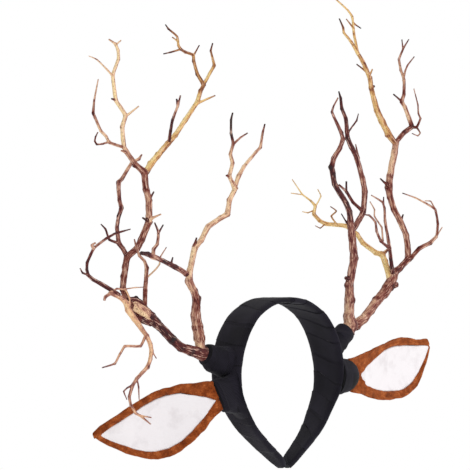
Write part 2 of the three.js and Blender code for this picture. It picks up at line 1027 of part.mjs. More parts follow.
function lined(distance) {
  return distance >= LINING_FROM && distance <= LINING_TO;
}

// Where the rolled border ends, as a share of half the ear's width
function borderEdge(half) {
  return 1 - Math.min(EAR_BORDER / half, EAR_BORDER_MOST);
}

function earShell(ear) {
  const rings = EAR_ROWS.map((row) => {
    const floor = lined(row[0]) ? 0 : EAR_FLAT;
    return earRing(ear, row, (half) => {
      const inner = borderEdge(half);
      return [
        ...BACK_SHARES.map((share) => [share, -EAR_WALL]),
        [1, EAR_RIM_OUTER],
        [(1 + inner) / 2, EAR_RIM],
        [inner, EAR_RIM_INNER],
        [inner, floor],
        ...FLOOR_SHARES.map((share) => [share * inner, floor]),
        [-inner, floor],
        [-inner, EAR_RIM_INNER],
        [-(1 + inner) / 2, EAR_RIM],
        [-1, EAR_RIM_OUTER],
      ];
    });
  });
  return loft(rings).add(earTongue(ear, 0));
}

function earLining(ear) {
  const rows = EAR_ROWS.filter(([distance]) => lined(distance));
  const rings = rows.map((row, index) => {
    const end = (index === 0) - (index === rows.length - 1);
    const [distance, ...rest] = row;
    return earRing(ear, [distance + end * LINING_INSET, ...rest], (half) => {
      const inner = borderEdge(half);
      const edge = inner - LINING_INSET / half;
      const shares = [-edge, ...FLOOR_SHARES.toReversed().map((share) => share * inner), edge];
      return [
        ...shares.map((share) => [share, LINING_LIFT]),
        ...shares.toReversed().map((share) => [share, LINING_LIFT + LINING_THICKNESS]),
      ];
    });
  });
  return loft(rings);
}

// Assembly
const headband = new THREE.Group();
headband.add(piece('band', band(), RIBBON));
for (const side of ['left', 'right']) {
  const ear = EARS[side];
  headband.add(
    piece(`${side}_sleeve`, sleeve(SLEEVES[side]), RIBBON),
    piece(`${side}_ear_stem`, stem(STEMS[side], ear), RIBBON),
    piece(`${side}_ear_shell`, earShell(ear), SUEDE),
    piece(`${side}_ear_lining`, earLining(ear), FELT),
  );
}
for (const [name, { wood }] of Object.entries(TWIGS)) {
  headband.add(piece(name, gluedTwig(name), WOOD[wood]));
}

export default headband;
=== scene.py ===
"""Looks of the reindeer antler headband: wound ribbon, glued twigs, suede ears with felt linings.

Metres, +Z up, +X to the wearer's left, +Y to the back of the head. The origin is the inside of the
band at its crown. The tables, and the part's sizes written without MM, are in millimetres.
"""
import bisect
import math
from typing import NamedTuple

import bmesh
import bpy
from mathutils import Matrix, Vector, geometry, kdtree, noise


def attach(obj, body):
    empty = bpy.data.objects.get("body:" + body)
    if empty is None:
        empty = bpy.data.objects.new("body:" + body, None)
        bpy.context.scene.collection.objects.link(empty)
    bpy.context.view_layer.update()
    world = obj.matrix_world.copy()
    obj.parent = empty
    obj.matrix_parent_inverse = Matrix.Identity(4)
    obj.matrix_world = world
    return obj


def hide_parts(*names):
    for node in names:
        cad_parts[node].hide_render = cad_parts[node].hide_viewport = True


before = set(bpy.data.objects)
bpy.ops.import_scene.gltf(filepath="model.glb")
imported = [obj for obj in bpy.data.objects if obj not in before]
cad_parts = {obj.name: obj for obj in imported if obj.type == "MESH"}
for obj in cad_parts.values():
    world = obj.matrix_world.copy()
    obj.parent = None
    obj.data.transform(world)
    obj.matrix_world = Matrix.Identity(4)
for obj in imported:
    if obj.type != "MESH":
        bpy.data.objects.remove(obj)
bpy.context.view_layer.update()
noise.seed_set(3)              # the wobble of twigs and cloth is the same each run

MM = 0.001
MERGE = 0.002 * MM             # points closer than this are one point
UP = Vector((0, 0, 1))
PLANE_TURN = math.radians(40)  # the twigs' drawing plane, turned from the front
ACROSS = Vector((math.cos(PLANE_TURN), -math.sin(PLANE_TURN), 0))
INWARD = Vector((math.sin(PLANE_TURN), math.cos(PLANE_TURN), 0))

# Photograph
SPAN = 470 * MM                # what the picture's width shows
PICTURE_MIDDLE = (-42.85, 68.15)  # across and up, on the drawing plane through the origin
CAMERA_DISTANCE = 22           # in metres
SENSOR = 36

# Stage, in metres
FLOOR_RADIUS = 4
FLOOR_HEIGHT = -0.3
LIGHT_AIM = (0, 0, 0.07)
LIGHTS = {
    # place, size, watts
    "key": [(-0.3, -2.2, 1.6), 1.2, 24],
    "fill": [(1.9, -1.2, 0.7), 1.2, 11.5],
}

# Twigs
TWIG_VOXEL = 0.5 * MM
SKIN_PASSES = 2                # how often a twig's skin is smoothed
TWIG_STEP = 1.1 * MM           # distance between a limb's rings
LIMB_SIDES = 14
FOOT_ROUND, TIP_ROUND = 0.3, 0.7  # how far a limb's ends bulge, of its radius
LIMB_APART = 37                # how far apart the bark patterns of two limbs are
ROUNDED = 0.4                  # how much of a bend is rounded, the rest is a kink
KNOT_SWELL = 0.06              # how much a limb thickens at each of its rows
KNOT_REACH = 2 * MM
BUD_SWELL = 0.3                # how far a bud stands out on the outside of a bend
BUD_REACH = 1.8 * MM
BUD_STRAY = 0.2                # how far a bud sits from the bend's very outside
BUD_SIZE, BUD_VARIES = 0.6, 0.8
BUD_CELL = 0.7 * MM            # buds farther apart than this differ in size
SCAR = 0.45                    # how much darker the bark is round a bud
SCAR_RING = 0.15               # the share of the scar that goes round the limb
COLLAR_SWELL = 0.35            # how much a limb thickens where it leaves another
LUMP, LUMP_LENGTH = 0.06, 5 * MM  # how much a limb's radius varies
BUMP, BUMP_LENGTH = 0.03, 2 * MM
WOBBLE = 0.08                  # how far a limb strays from its line, of its radius
WOBBLE_LENGTH = 7 * MM
BARK_RELIEF = 0.03             # depth of the bark's ridges, of the radius
RIDGE_WIDTH, RIDGE_LENGTH = 1.3 * MM, 7 * MM
BARK_LUMP = 3.2 * MM
PAINTED_SHADE_SIDE = 0.72               # painted shade: how much a bare limb is darkened towards bark on its side facing ACROSS
PAINTED_SHADE_LEAST = 0.15         # painted shade on a limb of bark is as strong as on a limb this bare
NEAR_SECTIONS = 5              # how many sections a point of the skin is measured against

# Ribbon
BAND_THICKNESS = 5.6
BAND_LEAN = 10                 # the tips lie in front of the crown
LEAN_FROM, LEAN_TO, LEAN_BEND = -98, -163, 1.5
BAND_STEP = 2 * MM
BAND_EDGE = 0.35               # share of the half width over which the band thins to its edge
BAND_FULL = 1.2                # how far the ribbon stands out past the band's edges
BAND_TIP = 5                   # how much narrower its tips are rounded, over TIP_LENGTH
TIP_LENGTH = 14
BAND_TURNS = 22
BAND_LEADS = [
    # share of a turn made before a face, on it and on the edge after it
    [0, 0.26, 0.05],
    [0.31, 0.62, 0.07],
]
HOLDER_SIDES = 40
SKIRT = 9                      # over this length a sleeve widens to meet the band
SKIRT_GAP = 0.5
CAP_RINGS = 6
SLIP = 0.35                    # how unevenly the turns lie, of a turn's advance
SLIP_RATE, EDGE_RATE = 1.3, 0.9  # how fast the slip and the edge change from turn to turn
SLIP_DRAW, EDGE_DRAW = 5, 2    # the rows of the noise that they are read from
EDGE_LEAST, EDGE_GAIN = 0.12, 3.2  # how clearly the ribbon's edge shows
ENDS_FADE = 2 * MM             # the ribbon lies flat over this length at its ends
FOLD_REST = 0.1                # how much of a fold lies under the core's skin
RIBBON_ROWS = [
    # share of a turn, how far the ribbon stands out there
    [0, 0.05],
    [0.004, 0.9],
    [0.03, 1],
    [0.1, 0.85],
    [0.2, 0.72],
    [0.3, 0.62],
    [0.4, 0.52],
    [0.5, 0.43],
    [0.6, 0.34],
    [0.7, 0.25],
    [0.8, 0.17],
    [0.9, 0.1],
]


class Tape(NamedTuple):
    """How a ribbon lies on a core."""
    proud: float               # how far its clearest edge stands out
    crumple: float             # how deep its folds are
    folds: tuple               # how long they are each way
    girth: float               # how much ribbon a turn takes


BAND_TAPE = Tape(proud=1, crumple=0.25, folds=(6, 26, 6), girth=96)
HOLDER_TAPE = Tape(proud=0.35, crumple=2.6, folds=(22, 7, 7), girth=85)

# Half of the band from its crown to its tip
BAND_ROWS = [
    # out, up, half width
    [0, 3, 22],
    [17, 1.6, 22.2],
    [31, -4, 22.4],
    [44, -13, 22.5],
    [54, -25.6, 22.6],
    [61, -40, 22.4],
    [65.5, -56, 22],
    [66.8, -72, 21.2],
    [64.3, -87, 19.8],
    [59, -99, 18.2],
    [43.5, -124, 15],
    [25.5, -142, 12.2],
    [11.5, -154, 10.6],
    [3, -163, 9.2],
]

# Wound sleeves of the antlers and wound stems of the ears, from the band to the mouth
WOUND_ROWS = {
    "left_sleeve": [
        # x, y, z, axis x, axis y, axis z, high, deep
        [-64, 1, -60, -1, 0, 0.05, 30, 30],
        [-74, 1.5, -58, -1, 0.05, 0.2, 30, 28],
        [-84, 2, -54.8, -1, 0.07, 0.33, 26.5, 24],
        [-93.5, 3, -50, -1, 0.07, 0.33, 20.5, 20.5],
    ],
    "right_sleeve": [
        [63, 1, -51, 0.94, 0, 0.34, 28, 29],
        [71.5, 1.5, -45, 0.9, 0.05, 0.45, 24, 26],
        [81.5, 2, -36.4, 0.85, 0.07, 0.53, 21.5, 23],
        [92, 3, -27.9, 0.8, 0.07, 0.6, 20.5, 20.5],
    ],
    "left_ear_stem": [
        [-62, -7, -91, -0.96, 0, -0.28, 37, 22],
        [-72, -8, -92, -1, 0.09, -0.3, 37, 21],
        [-83, -9, -92.5, -1, 0.19, -0.42, 35, 18],
        [-87.6, -9, -93, -1, 0.28, -0.5, 34.5, 14],
    ],
    "right_ear_stem": [
        [65, -13, -73, 1, 0, 0, 36, 22],
        [75, -12, -73, 1, 0.09, 0.07, 35, 21],
        [88, -10.5, -73, 1, 0.19, 0.14, 34, 19],
        [96, -9.5, -73, 1, 0.28, 0.22, 33, 16],
    ],
}
WOUND_MOUTHS = {
    # turns of ribbon, flare, length of the rounded mouth, how far it closes, how oval it is
    "left_sleeve": [2, 0.25, 3, 0.25, 1],
    "right_sleeve": [2, 0.1, 2, 0.2, 1],
    "left_ear_stem": [2, 0.45, 2, 0.25, 0.7],
    "right_ear_stem": [1, 0.05, 23, 1, 1],
}

# Ears
EARS = {
    "left": {"side": -1, "root": (-91, -9, -91.2), "tilt": math.radians(-17.3)},
    "right": {"side": 1, "root": (97, -9.5, -73.3), "tilt": math.radians(12.4)},
}
EAR_SWEEP = math.radians(17.5)
EAR_RINGS = 150
EAR_WALL = 2
EAR_RIM = 3.2
EAR_CUP = 9
ROLLS_HIGH = 5                 # an ear is at least this many rolls of its border high
BORDER_PUFF = 0.5
BORDER_SLOPE = 0.5             # how far the border's inner wall leans in
SINK_LENGTH = 3                # over this length at its ends the hollow gets its depth
GATHER = 3.2                   # how deep the suede is gathered near its stem
GATHER_AT, GATHER_REACH = 9, 25
GATHER_WIDTH, GATHER_LENGTH = 4, 22
WAVE, WAVE_LENGTH = 0.55, 11 * MM
PUCKER, PUCKER_LENGTH = 0.24, 3.8 * MM
STUFFING = 40                  # the stuffing's pressure in the simulation
SWELL_FRAMES = 20
SWELL_CAP = 1.5
SEAM = 2.2                     # cloth nearer than this to the felt or the ribbon is held by it
TIP_SEAM = 9                   # and so is cloth nearer than this to the ear's tip
FELT_RINGS, FELT_CELLS = 70, 24
FELT_THICKNESS = 2.2
FELT_TUCK = 0.4                # how far the felt's edge goes under the border
FELT_GAP = 0.4                 # how far it lies off the hollow's floor
FELT_CROWN = 0.5
FELT_END = 0.9                 # the height of its two ends over the floor
FELT_WAVE, FELT_WAVE_LENGTH = 0.4, 16 * MM
EAR_ROWS = {
    "left": [
        # along, upper, lower, hollow
        [-8, 11, -15, 0],
        [-1, 14, -18, 0],
        [6, 16, -21.4, 0.1],
        [15, 17.4, -27, 0.3],
        [21, 18.8, -31.2, 0.4],
        [32, 21.4, -36.6, 0.6],
        [50, 23, -43, 0.9],
        [64, 22, -44.8, 1],
        [77, 19.8, -43.4, 0.95],
        [90, 16.6, -38.5, 0.85],
        [108, 12, -27.6, 0.55],
        [126, 7.4, -12, 0.2],
        [131, 5.4, -7.2, 0.05],
        [134.4, 4, -3.4, 0],
        [136.4, 2.4, -0.4, 0],
    ],
    "right": [
        [-13, 21.2, -14, 1.2],
        [-3, 20.6, -17.2, 0.8],
        [7, 19.8, -21, 0.45],
        [14, 19.8, -25, 0.4],
        [32, 21, -32.2, 0.55],
        [50, 22.4, -37, 0.85],
        [70, 23, -39.2, 1],
        [85, 21.6, -38.8, 0.9],
        [105, 15.6, -33.8, 0.6],
        [115, 11.8, -26.6, 0.4],
        [124, 9.8, -17.4, 0.2],
        [130, 9.2, -10, 0.1],
        [133.4, 8.8, -4.6, 0.05],
        [135.8, 3, 0, 0],
    ],
}
LINING_ROWS = {
    "left": [
        # along, upper, lower
        [1, -5, -6],
        [5, -2, -9.2],
        [12.5, 2.4, -15],
        [22, 7, -21.4],
        [34, 13, -28.4],
        [49, 15.2, -34.6],
        [62, 14.8, -36.8],
        [76, 12, -35.8],
        [87, 9.2, -31.8],
        [97, 6.6, -26.2],
        [113.6, 2.6, -14.8],
        [122, 0.6, -8.4],
        [129, -1.4, -2.6],
    ],
    "right": [
        [6.6, -1.4, -2.4],
        [9.4, 1.4, -7],
        [14.6, 3.8, -13],
        [28.5, 7.8, -19.8],
        [35, 9.6, -22.4],
        [46.4, 12, -25.9],
        [55, 14, -28.2],
        [74, 14.2, -31.8],
        [82, 13.2, -32],
        [93, 11.2, -30.2],
        [101.6, 9.2, -27.6],
        [113, 6.4, -20.6],
        [125, 3.6, -9.6],
        [132.5, 1.6, -1],
    ],
}

# Twigs: limbs as tables of sections on the drawing plane. bare is 0 in dark bark, 1 where the
# wood is stripped, and less than 0 at a withered tip.
TWIGS = {
    # a limb's rows: across, up, back, girth, bare
    "left_beam": [[
        [-62, -56, 2, 13, 0.05], [-72, -51.5, 3, 15, 0.1], [-87, -47.5, 5, 9.8, 0.1],
        [-97, -44, 7.5, 8.8, 0], [-106, -35.8, 10, 9.2, -0.06], [-118, -23.5, 14, 8.8, -0.1],
        [-128, -14.3, 17, 12, -0.04], [-135.5, -9, 19, 15, 0.1], [-146, -1, 21, 12, 0.2],
    ], [
        [-142, -1.6, 15.4, 4.4, 0.85], [-136, -6.5, 14.6, 5.6, 0.95], [-130.4, -12.4, 14.6, 4, 0.8],
    ], [
        [-151, 3.6, 19, 4, 0], [-142, 4, 18, 5, -0.05], [-133, -1.6, 17.5, 4, 0],
    ], [
        [-143, -14.6, 18, 4, 0.1], [-136, -17.4, 17, 5.4, 0], [-127, -21.4, 16, 4, 0],
    ]],
    "left_tine": [[
        [-77.5, -45.6, 4, 9.5, 0.75], [-78.5, -34.6, 4, 11.4, 0.38],
        [-80.4, -23.6, 2.5, 10.8, 0.36], [-82.2, -12, 1, 9.6, 0.28], [-81.4, 4, -1, 8.2, 0],
        [-84, 12, -2, 7.2, 0.4], [-88.8, 22, -3, 8, 0.6], [-87.8, 33, -4, 5.8, 0.8],
        [-86.4, 40, -6, 5.8, 0.87], [-82.6, 56, -10, 6.2, 0.9], [-76.6, 63, -12, 5.4, 0.7],
        [-69.5, 76.5, -16, 5.6, 0.8], [-57.3, 85, -18, 5.2, 0.77], [-50.7, 89.3, -19, 5.6, 0.67],
        [-48.3, 103, -20, 5, 0.9], [-41.9, 116, -21, 5, 0.9],
    ], [
        [-42.8, 115, -21, 4.4, 0.85], [-48.3, 127, -25, 4, 0.75], [-45.3, 140, -30, 3.8, 0.75],
        [-47.4, 149, -33, 3.5, 0.75], [-44.7, 159.3, -36, 3.1, 0.2], [-46.7, 170, -40, 2.7, -0.3],
        [-46.8, 183, -44, 2.3, -0.4], [-45.2, 190.4, -46, 1.6, -0.4],
    ], [
        [-44.7, 159, -36, 2.5, 0.3], [-37.4, 165.5, -34, 2, 0.5], [-30.5, 170, -31, 1.4, -0.35],
    ], [
        [-83.6, 57.5, -10.5, 2.8, 0.3], [-81.2, 65.5, -12, 1.5, -0.4],
    ], [
        [-48.5, 127, -25, 3, 0.4], [-51.6, 127.6, -25, 1.7, 0],
    ]],
    "left_tine_fork": [[
        [-43.4, 115, -21, 4.4, 0.85], [-39.1, 127, -20, 4.6, 0.85], [-34, 136.4, -17, 3.6, 0.9],
        [-22, 151, -12, 3.2, 0.75], [-17.5, 156, -10, 3, 0.5], [-15, 171, -5, 2.4, 0.4],
        [-13, 179, -2, 1.5, -0.3],
    ]],
    "left_side_branch": [[
        [-87.5, 28.5, -2, 4, 0.7], [-92.2, 30, -4.4, 5.2, 0.5], [-102.5, 36, -8, 5.4, 0.05],
        [-115, 42.4, -12, 4.6, -0.04], [-125, 46.6, -15, 5.6, 0.65], [-130, 48.8, -16, 5, -0.05],
        [-136.6, 50, -17, 3.6, -0.3],
    ], [
        [-125, 47, -15, 3.6, 0.6], [-124, 54, -17, 3.4, 0.5], [-120.6, 59, -19, 3.2, 0.45],
        [-119.4, 70.5, -24, 2.8, 0.3], [-123.2, 80.4, -28, 1.4, -0.3],
    ], [
        [-119.4, 70, -24, 2.2, 0.3], [-114.6, 78.4, -25, 1.4, -0.3],
    ], [
        [-107, 38.8, -9.5, 2.4, 0], [-105, 46, -10.5, 1.3, -0.3],
    ]],
    "left_crown": [[
        [-146, 0.5, 20.5, 5.6, 0.21], [-151, 4, 21, 6.2, 0.23], [-155, 14.4, 21, 6.2, 0.25],
        [-153.9, 26.5, 21, 6.4, 0.27], [-152.6, 36, 21, 6.4, 0.23], [-150.2, 46.5, 21, 6.6, 0.19],
        [-141, 54.5, 20, 6.4, 0.13], [-136.2, 63.5, 20, 6.8, 0.15], [-129.2, 82, 19, 7, 0.38],
        [-129, 103, 20, 6.8, 0.38], [-131.8, 114, 21, 6.4, 0.21], [-134, 131, 23, 7, 0.16],
        [-142.3, 138.6, 25, 5.2, 0.26], [-151.8, 152, 27, 5, 0.5], [-154, 156.4, 28, 4.6, 0.96],
        [-155.6, 176, 31, 4.3, 1.08], [-152.4, 187.5, 33, 4.2, 1.01], [-157, 195.3, 35, 4, 1.11],
        [-162, 203, 36, 4, 1.11], [-165, 228, 39, 3.6, 1.11], [-159.5, 244, 43, 3.2, 1.11],
        [-159.8, 252.6, 45, 3, 1.06], [-162.4, 259, 46, 2.8, 1.06], [-169, 263.8, 47, 1.4, 0.6],
    ], [
        [-162.4, 258, 46, 2, 1.05], [-157, 262.7, 49, 1.3, 0.8],
    ], [
        [-165, 227, 39, 2.4, 1.05], [-170.8, 233.6, 36, 1.9, 1], [-181, 243.6, 30, 1.5, 0.9],
        [-189, 247.2, 26, 0.9, 0.9],
    ], [
        [-153.5, 187, 33, 2.4, 1], [-149.3, 189, 31, 2.3, 0.85], [-139, 197, 25, 1.4, 0.7],
    ], [
        [-129.6, 81, 19, 2.6, 0.7], [-124.5, 85.5, 15, 2.4, 0.7], [-116.7, 89, 10, 1.4, 0.5],
    ], [
        [-130, 82, 19, 2.6, 0.1], [-135.2, 85.4, 17, 1.7, -0.4],
    ], [
        [-129, 102, 20, 2.8, 0.4], [-124, 111.5, 18, 1.5, -0.4],
    ], [
        [-151.5, 150.5, 27, 2.8, 0.4], [-156.6, 152.5, 26, 1.7, 0.6],
    ], [
        [-162, 203, 36, 2.6, 0.8], [-166.2, 204.4, 35, 1.6, -0.2],
    ]],
    "left_crown_spray": [[
        [-155, 156, 28, 3.2, 0.6], [-168.6, 160.8, 23, 3, 0.65], [-171.6, 166.6, 20, 3, 0.85],
        [-177, 172.4, 17, 3, 0.85], [-183, 186, 12, 2.8, 0.4], [-184.6, 190, 11, 3, 0.1],
        [-183.6, 203, 8, 2, 0.6], [-179.6, 224, 4, 1.2, 0.45],
    ], [
        [-168, 161.6, 23.4, 2.2, 0.4], [-175, 159.3, 22, 2, 0.2], [-181, 158.9, 22, 1.9, 0.15],
        [-183, 162, 23, 1.8, 0.1], [-182.3, 166.2, 25, 1.6, 0.1], [-180, 171, 27, 1.1, 0],
    ]],
    "left_crown_fork": [[
        [-134, 128, 22.5, 5, 0.5], [-131.5, 131.6, 24, 6.4, 0.85], [-126.8, 139.2, 27, 6.4, 1],
        [-119.8, 148.2, 31, 6, 0.95], [-110, 159.5, 36, 5.6, 0.5], [-102.5, 168.3, 40, 5, 0.85],
        [-92.4, 183.4, 45, 4.8, 0.97], [-80.8, 201, 50, 4.6, 0.9], [-77.3, 212, 52, 4.2, 0.5],
        [-74.4, 218.5, 53, 4.2, 0.2], [-80.5, 229, 57, 3.4, 0.4], [-84, 242, 60, 3.2, 0.35],
        [-84.6, 248, 61, 3, 0.55], [-92.3, 251, 60, 2.8, 0.3], [-97, 254, 59, 2.8, 0.3],
        [-99.3, 257.5, 59, 2.6, 0.65], [-100.6, 266.4, 57, 2.2, 0.6], [-109.5, 274.4, 52, 1.9, 0.1],
        [-112.4, 278.5, 50, 1.2, -0.35],
    ], [
        [-96.5, 254, 59, 2, 0.3], [-107, 251, 63, 1.8, 0], [-114.5, 249.2, 65, 1.2, -0.3],
    ], [
        [-84.6, 247, 61, 2, 0.5], [-78.6, 257.8, 65, 1.2, -0.1],
    ], [
        [-80, 200, 50, 2.4, 0.85], [-70, 204.5, 47, 2, 0.7], [-62.6, 207.7, 44, 1.2, 0.1],
    ], [
        [-99.5, 261.5, 58.5, 1.9, 0.6], [-105.7, 266, 60, 1.1, 0.4],
    ]],
    "left_crown_tip": [[
        [-74, 218.8, 53, 3.2, 0.3], [-71.7, 223, 51, 3.2, 0.8], [-67.8, 230.2, 48, 3, 0.9],
        [-63.8, 237.6, 45, 3.2, 0.4], [-65, 243.8, 43, 2.5, 0.6], [-67, 252.4, 40, 2, 0.1],
        [-65.2, 260, 37, 1.4, -0.1],
    ]],
    "left_dark_twig": [[
        [-109.5, 158, 36, 3.4, 0.05], [-107.3, 172, 32, 3.2, -0.05], [-105.4, 183, 28, 3, -0.05],
        [-100, 197.5, 23, 2.5, 0.6], [-97.4, 207.7, 19, 1.5, -0.1],
    ], [
        [-100.3, 196.5, 23, 2.2, 0.6], [-101.2, 204.2, 22, 1.7, -0.4],
    ]],
    "left_upright": [[
        [-150.6, 47, 21, 4.4, 0.2], [-152, 49, 25, 4.6, 0.2], [-155, 54.5, 28, 4.4, 0.22],
        [-159, 60.3, 31, 4.6, 0.3], [-160.8, 76, 35, 4, 0.21], [-159, 87, 38, 4, 0.16],
        [-156.4, 95.3, 40, 4.4, 0.16], [-158.4, 103, 42, 4, 0.23], [-159.2, 120.4, 47, 4.6, 0.35],
        [-155.7, 124.6, 49, 3.8, 0.3], [-146, 140.5, 54, 3.4, 0.7], [-139, 144.3, 57, 3, 0.75],
        [-136, 148.5, 59, 1.6, 0.6],
    ], [
        [-159, 60, 31, 2.8, 0.1], [-168.5, 63.5, 33, 2.5, 0.05], [-172.3, 74, 37, 2, 0],
        [-177, 79, 40, 1.2, -0.2],
    ]],
    "left_sprig": [[
        [-133, -5, 18.5, 4.6, 0.15], [-132.7, 13, 12, 4.6, 0.2], [-131.2, 35, 5, 4, 0.35],
        [-133.4, 42, 3, 3, 0.6], [-138.5, 47.5, 2, 2.8, 0.35], [-142, 58.4, 1, 2.2, 0.35],
        [-143.6, 64, 0, 1.2, 0.2],
    ], [
        [-132.5, 24, 8.5, 1.9, 0.8], [-122, 34, 8, 1.7, 0.85], [-118.4, 39, 7, 1.6, 0.85],
        [-117.8, 45.6, 6, 1.5, 0.6], [-111.4, 56, 5, 1, 0],
    ]],
    "left_droop": [[
        [-173.6, 2.6, 13, 2.4, 0.3], [-172.4, 6.4, 13, 3.2, 0.35], [-167.5, 9.4, 14, 3.4, 0.5],
        [-163.4, 8.2, 15, 3.8, 0.45], [-155.4, 4.4, 17, 5, 0.7], [-151, -1, 18.2, 6, 0.85],
        [-149.6, -7, 15.5, 6.2, 0.9], [-143.6, -15.5, 11, 5.8, 0.72], [-136, -26, 5.5, 5, 0.5],
        [-131, -33, 3, 4.4, 0.45], [-127.6, -41, 1, 4.4, 0.6], [-126.4, -48, -1, 4.2, 0.78],
        [-127.6, -56, -4, 4, 0.75], [-130.5, -64, -7, 4, 0.5], [-141, -75.5, -10, 3.6, 0.38],
        [-145, -82, -12, 3.4, 0.35], [-148.6, -94, -15, 3, 0.18], [-147, -101.6, -16, 2.8, 0.25],
        [-142, -110, -17, 2.6, 0.5], [-137, -113, -17, 2.4, 0.7], [-127.2, -121, -18, 1.3, 0],
    ], [
        [-138, -112.5, -17, 1.8, 0.6], [-126.6, -114.4, -21, 1.2, 0.1],
    ], [
        [-141, -75, -10, 1.8, 0.2], [-139.3, -83.8, -14, 1.6, 0.1], [-138.7, -96.5, -19, 1, 0.2],
    ], [
        [-145, -81.5, -12, 1.8, 0.2], [-150.8, -85, -10, 1.6, 0.1], [-154, -88.3, -9, 1.5, 0.2],
        [-151, -96.5, -8, 1, 0],
    ], [
        [-168.5, 10.4, 14, 1.9, 0.4], [-161, 14.3, 14.5, 1.9, 0.5], [-152.5, 13.5, 15.5, 1.9, 0.65],
        [-148.7, 6, 16.5, 1.9, 0.75], [-147.6, -2, 17, 1.6, 0.85],
    ], [
        [-154, 14, 15.3, 1.5, 0.6], [-142, 15.6, 15.5, 1.2, 0.6], [-134.7, 16, 15.2, 0.9, 0.4],
    ], [
        [-126.4, -47, -1, 1.8, 0.6], [-121.3, -55.5, -3, 0.9, 0.1],
    ]],
    "left_zigzag": [[
        [-132, -32, 3, 3, 0.45], [-137.2, -42.8, -2, 2.8, 0.45], [-153, -43.2, -8, 2.6, 0.6],
        [-157.7, -50.5, -12, 2.4, 0.45], [-163, -60.3, -16, 2.2, 0.4],
        [-175.5, -64.5, -21, 1.2, -0.1],
    ]],
    "left_curl": [[
        [-158.5, 8, 15, 4.4, 0.1], [-166, 12.8, 15.5, 4.4, 0.02], [-176.3, 19, 17, 4.4, 0],
        [-184.5, 23.5, 19.5, 3.8, 0], [-190.2, 28.4, 21, 3.4, 0],
    ], [
        [-189.2, 28.2, 21, 2.2, 0], [-195.2, 30.3, 19, 2, 0], [-197.8, 34.8, 18, 1.2, -0.1],
    ]],
    "left_curl_top": [[
        [-189.5, 28.4, 21, 3, 0], [-191, 33.5, 22, 3, 0], [-190.6, 40.5, 23, 3, 0.05],
        [-187, 49, 22, 2.9, 0.1], [-183.7, 55.4, 20, 3, 0.3], [-171.6, 64.7, 14, 2.6, 0.1],
        [-163.4, 69.2, 11, 2.4, 0.05], [-155.7, 71.7, 8, 2, 0], [-147.4, 74, 5, 1.2, -0.2],
    ], [
        [-184.5, 55, 20, 2.6, 0.4], [-186, 58, 20, 2.2, 0.5], [-182.4, 60.4, 19.6, 1.6, 0.5],
    ]],
    "right_trunk": [[
        [63, -36, 2, 12.5, 0.6], [69, -28, 3, 14.5, 0.6], [72.5, -22, 3.5, 14, 0.5],
        [71.2, -13, 3, 10.2, 0.53], [71.6, 3, 1, 10, 0.38], [71.4, 18, 0, 8.4, 0.32],
        [73.8, 31, -1, 8, 0.3], [76, 45, -2, 8.2, 0.26], [74.5, 64, -4, 7.8, 0.23],
        [73, 76, -6, 7.4, 0.2], [71.7, 91, -10, 5.6, -0.02], [68.2, 100, -13, 5.6, -0.04],
        [56.8, 119, -18, 5.4, -0.06], [55, 130, -21, 5.6, -0.08], [53.8, 136, -22, 5.6, -0.05],
        [56, 145, -24, 5, 0.35], [62, 155, -26, 4.6, 0.3], [65, 164, -28, 4.4, 0.25],
        [63.4, 170.3, -30, 3.8, 0.15], [54.2, 191, -37, 2.6, 0.15], [55.8, 197, -40, 1.8, 0.3],
        [60.2, 205.4, -43, 1.4, 0.4],
    ], [
        [72, 23.5, -0.5, 5, 0.05], [67.6, 25.4, -1, 3, -0.05],
    ], [
        [72.5, 77, -6, 2.2, 0], [68.5, 81, -5, 1.7, 0], [63.4, 89.6, -3, 1.1, -0.4],
    ]],
    "right_trunk_fork": [[
        [74, 71, -5, 5, 0.1], [77.5, 77, -2.5, 5.6, 0.3], [85, 91, 2, 5.8, 0.15],
        [87, 111.5, 6, 5.8, 0.3], [84.5, 125, 7, 5.4, 0.3], [78.7, 146, 6, 5.2, 0.06],
        [73.6, 156.3, 4, 5, 0.02], [69.8, 165, 2, 4.8, 0], [68, 184.4, -5, 4, 0.07],
        [64, 194.6, -9, 3.4, 0], [62.8, 205, -13, 2.6, -0.1], [61, 211.5, -15, 1.4, -0.35],
    ], [
        [69.8, 164, 2, 2, 0.05], [71, 171.6, 4, 1.9, 0.05], [78.7, 182.5, 9, 1.7, 0],
        [80.6, 189.5, 12, 1, -0.3],
    ], [
        [85, 92, 2, 3.4, 0.05], [75, 101, 7, 3.2, 0.02], [68.5, 111.5, 11, 3, 0.05],
        [61, 118.5, 13, 1.8, 0.3],
    ], [
        [68.5, 110.5, 11, 2.2, 0], [68.5, 121.5, 15, 1.8, -0.4],
    ], [
        [80.5, 145, 6, 2.6, 0.25], [77.8, 159, 8, 1.1, 0.2],
    ]],
    "right_beam": [[
        [72, -21, 3.5, 10, 0.5], [78.5, -21, 6, 10, 0.5], [85.5, -15.6, 8, 9.6, 0.42],
        [92.5, -7, 10, 9, 0.36], [99, 2.2, 12, 9.4, 0.34], [106, 10.2, 14, 10, 0.22],
        [111.5, 18, 16, 11, 0.2], [114.5, 25, 18, 10, 0.4], [117.5, 31.5, 19, 7.5, 0.1],
        [122, 35, 20, 6.4, 0.06], [130.2, 45, 22, 6.4, 0.12], [128.3, 68, 24, 6, 0.35],
        [122.2, 82, 25, 6, 0.4], [116, 94, 26, 6, 0.3], [112.2, 106, 27, 6, 0.25],
        [110.9, 116, 28, 8, 0.15], [112, 127, 29, 6.8, 0.62], [116.5, 150, 31, 6.5, 0.64],
        [118.2, 161.4, 32, 6.4, 0.2],
    ], [
        [112, 18, 16, 8, 0.2], [119.2, 18.6, 15.5, 4.5, 0.1],
    ], [
        [123, 82, 25, 2.6, 0.2], [125.4, 88.8, 24, 1.5, -0.3],
    ], [
        [110.5, 117, 28, 3, 0.2], [102.4, 124.6, 27, 1.5, -0.4],
    ]],
    "right_golden": [[
        [117, 160, 32, 5.6, 0.2], [110.6, 169, 31, 6.6, 0.6], [104, 182, 28, 6.4, 0.68],
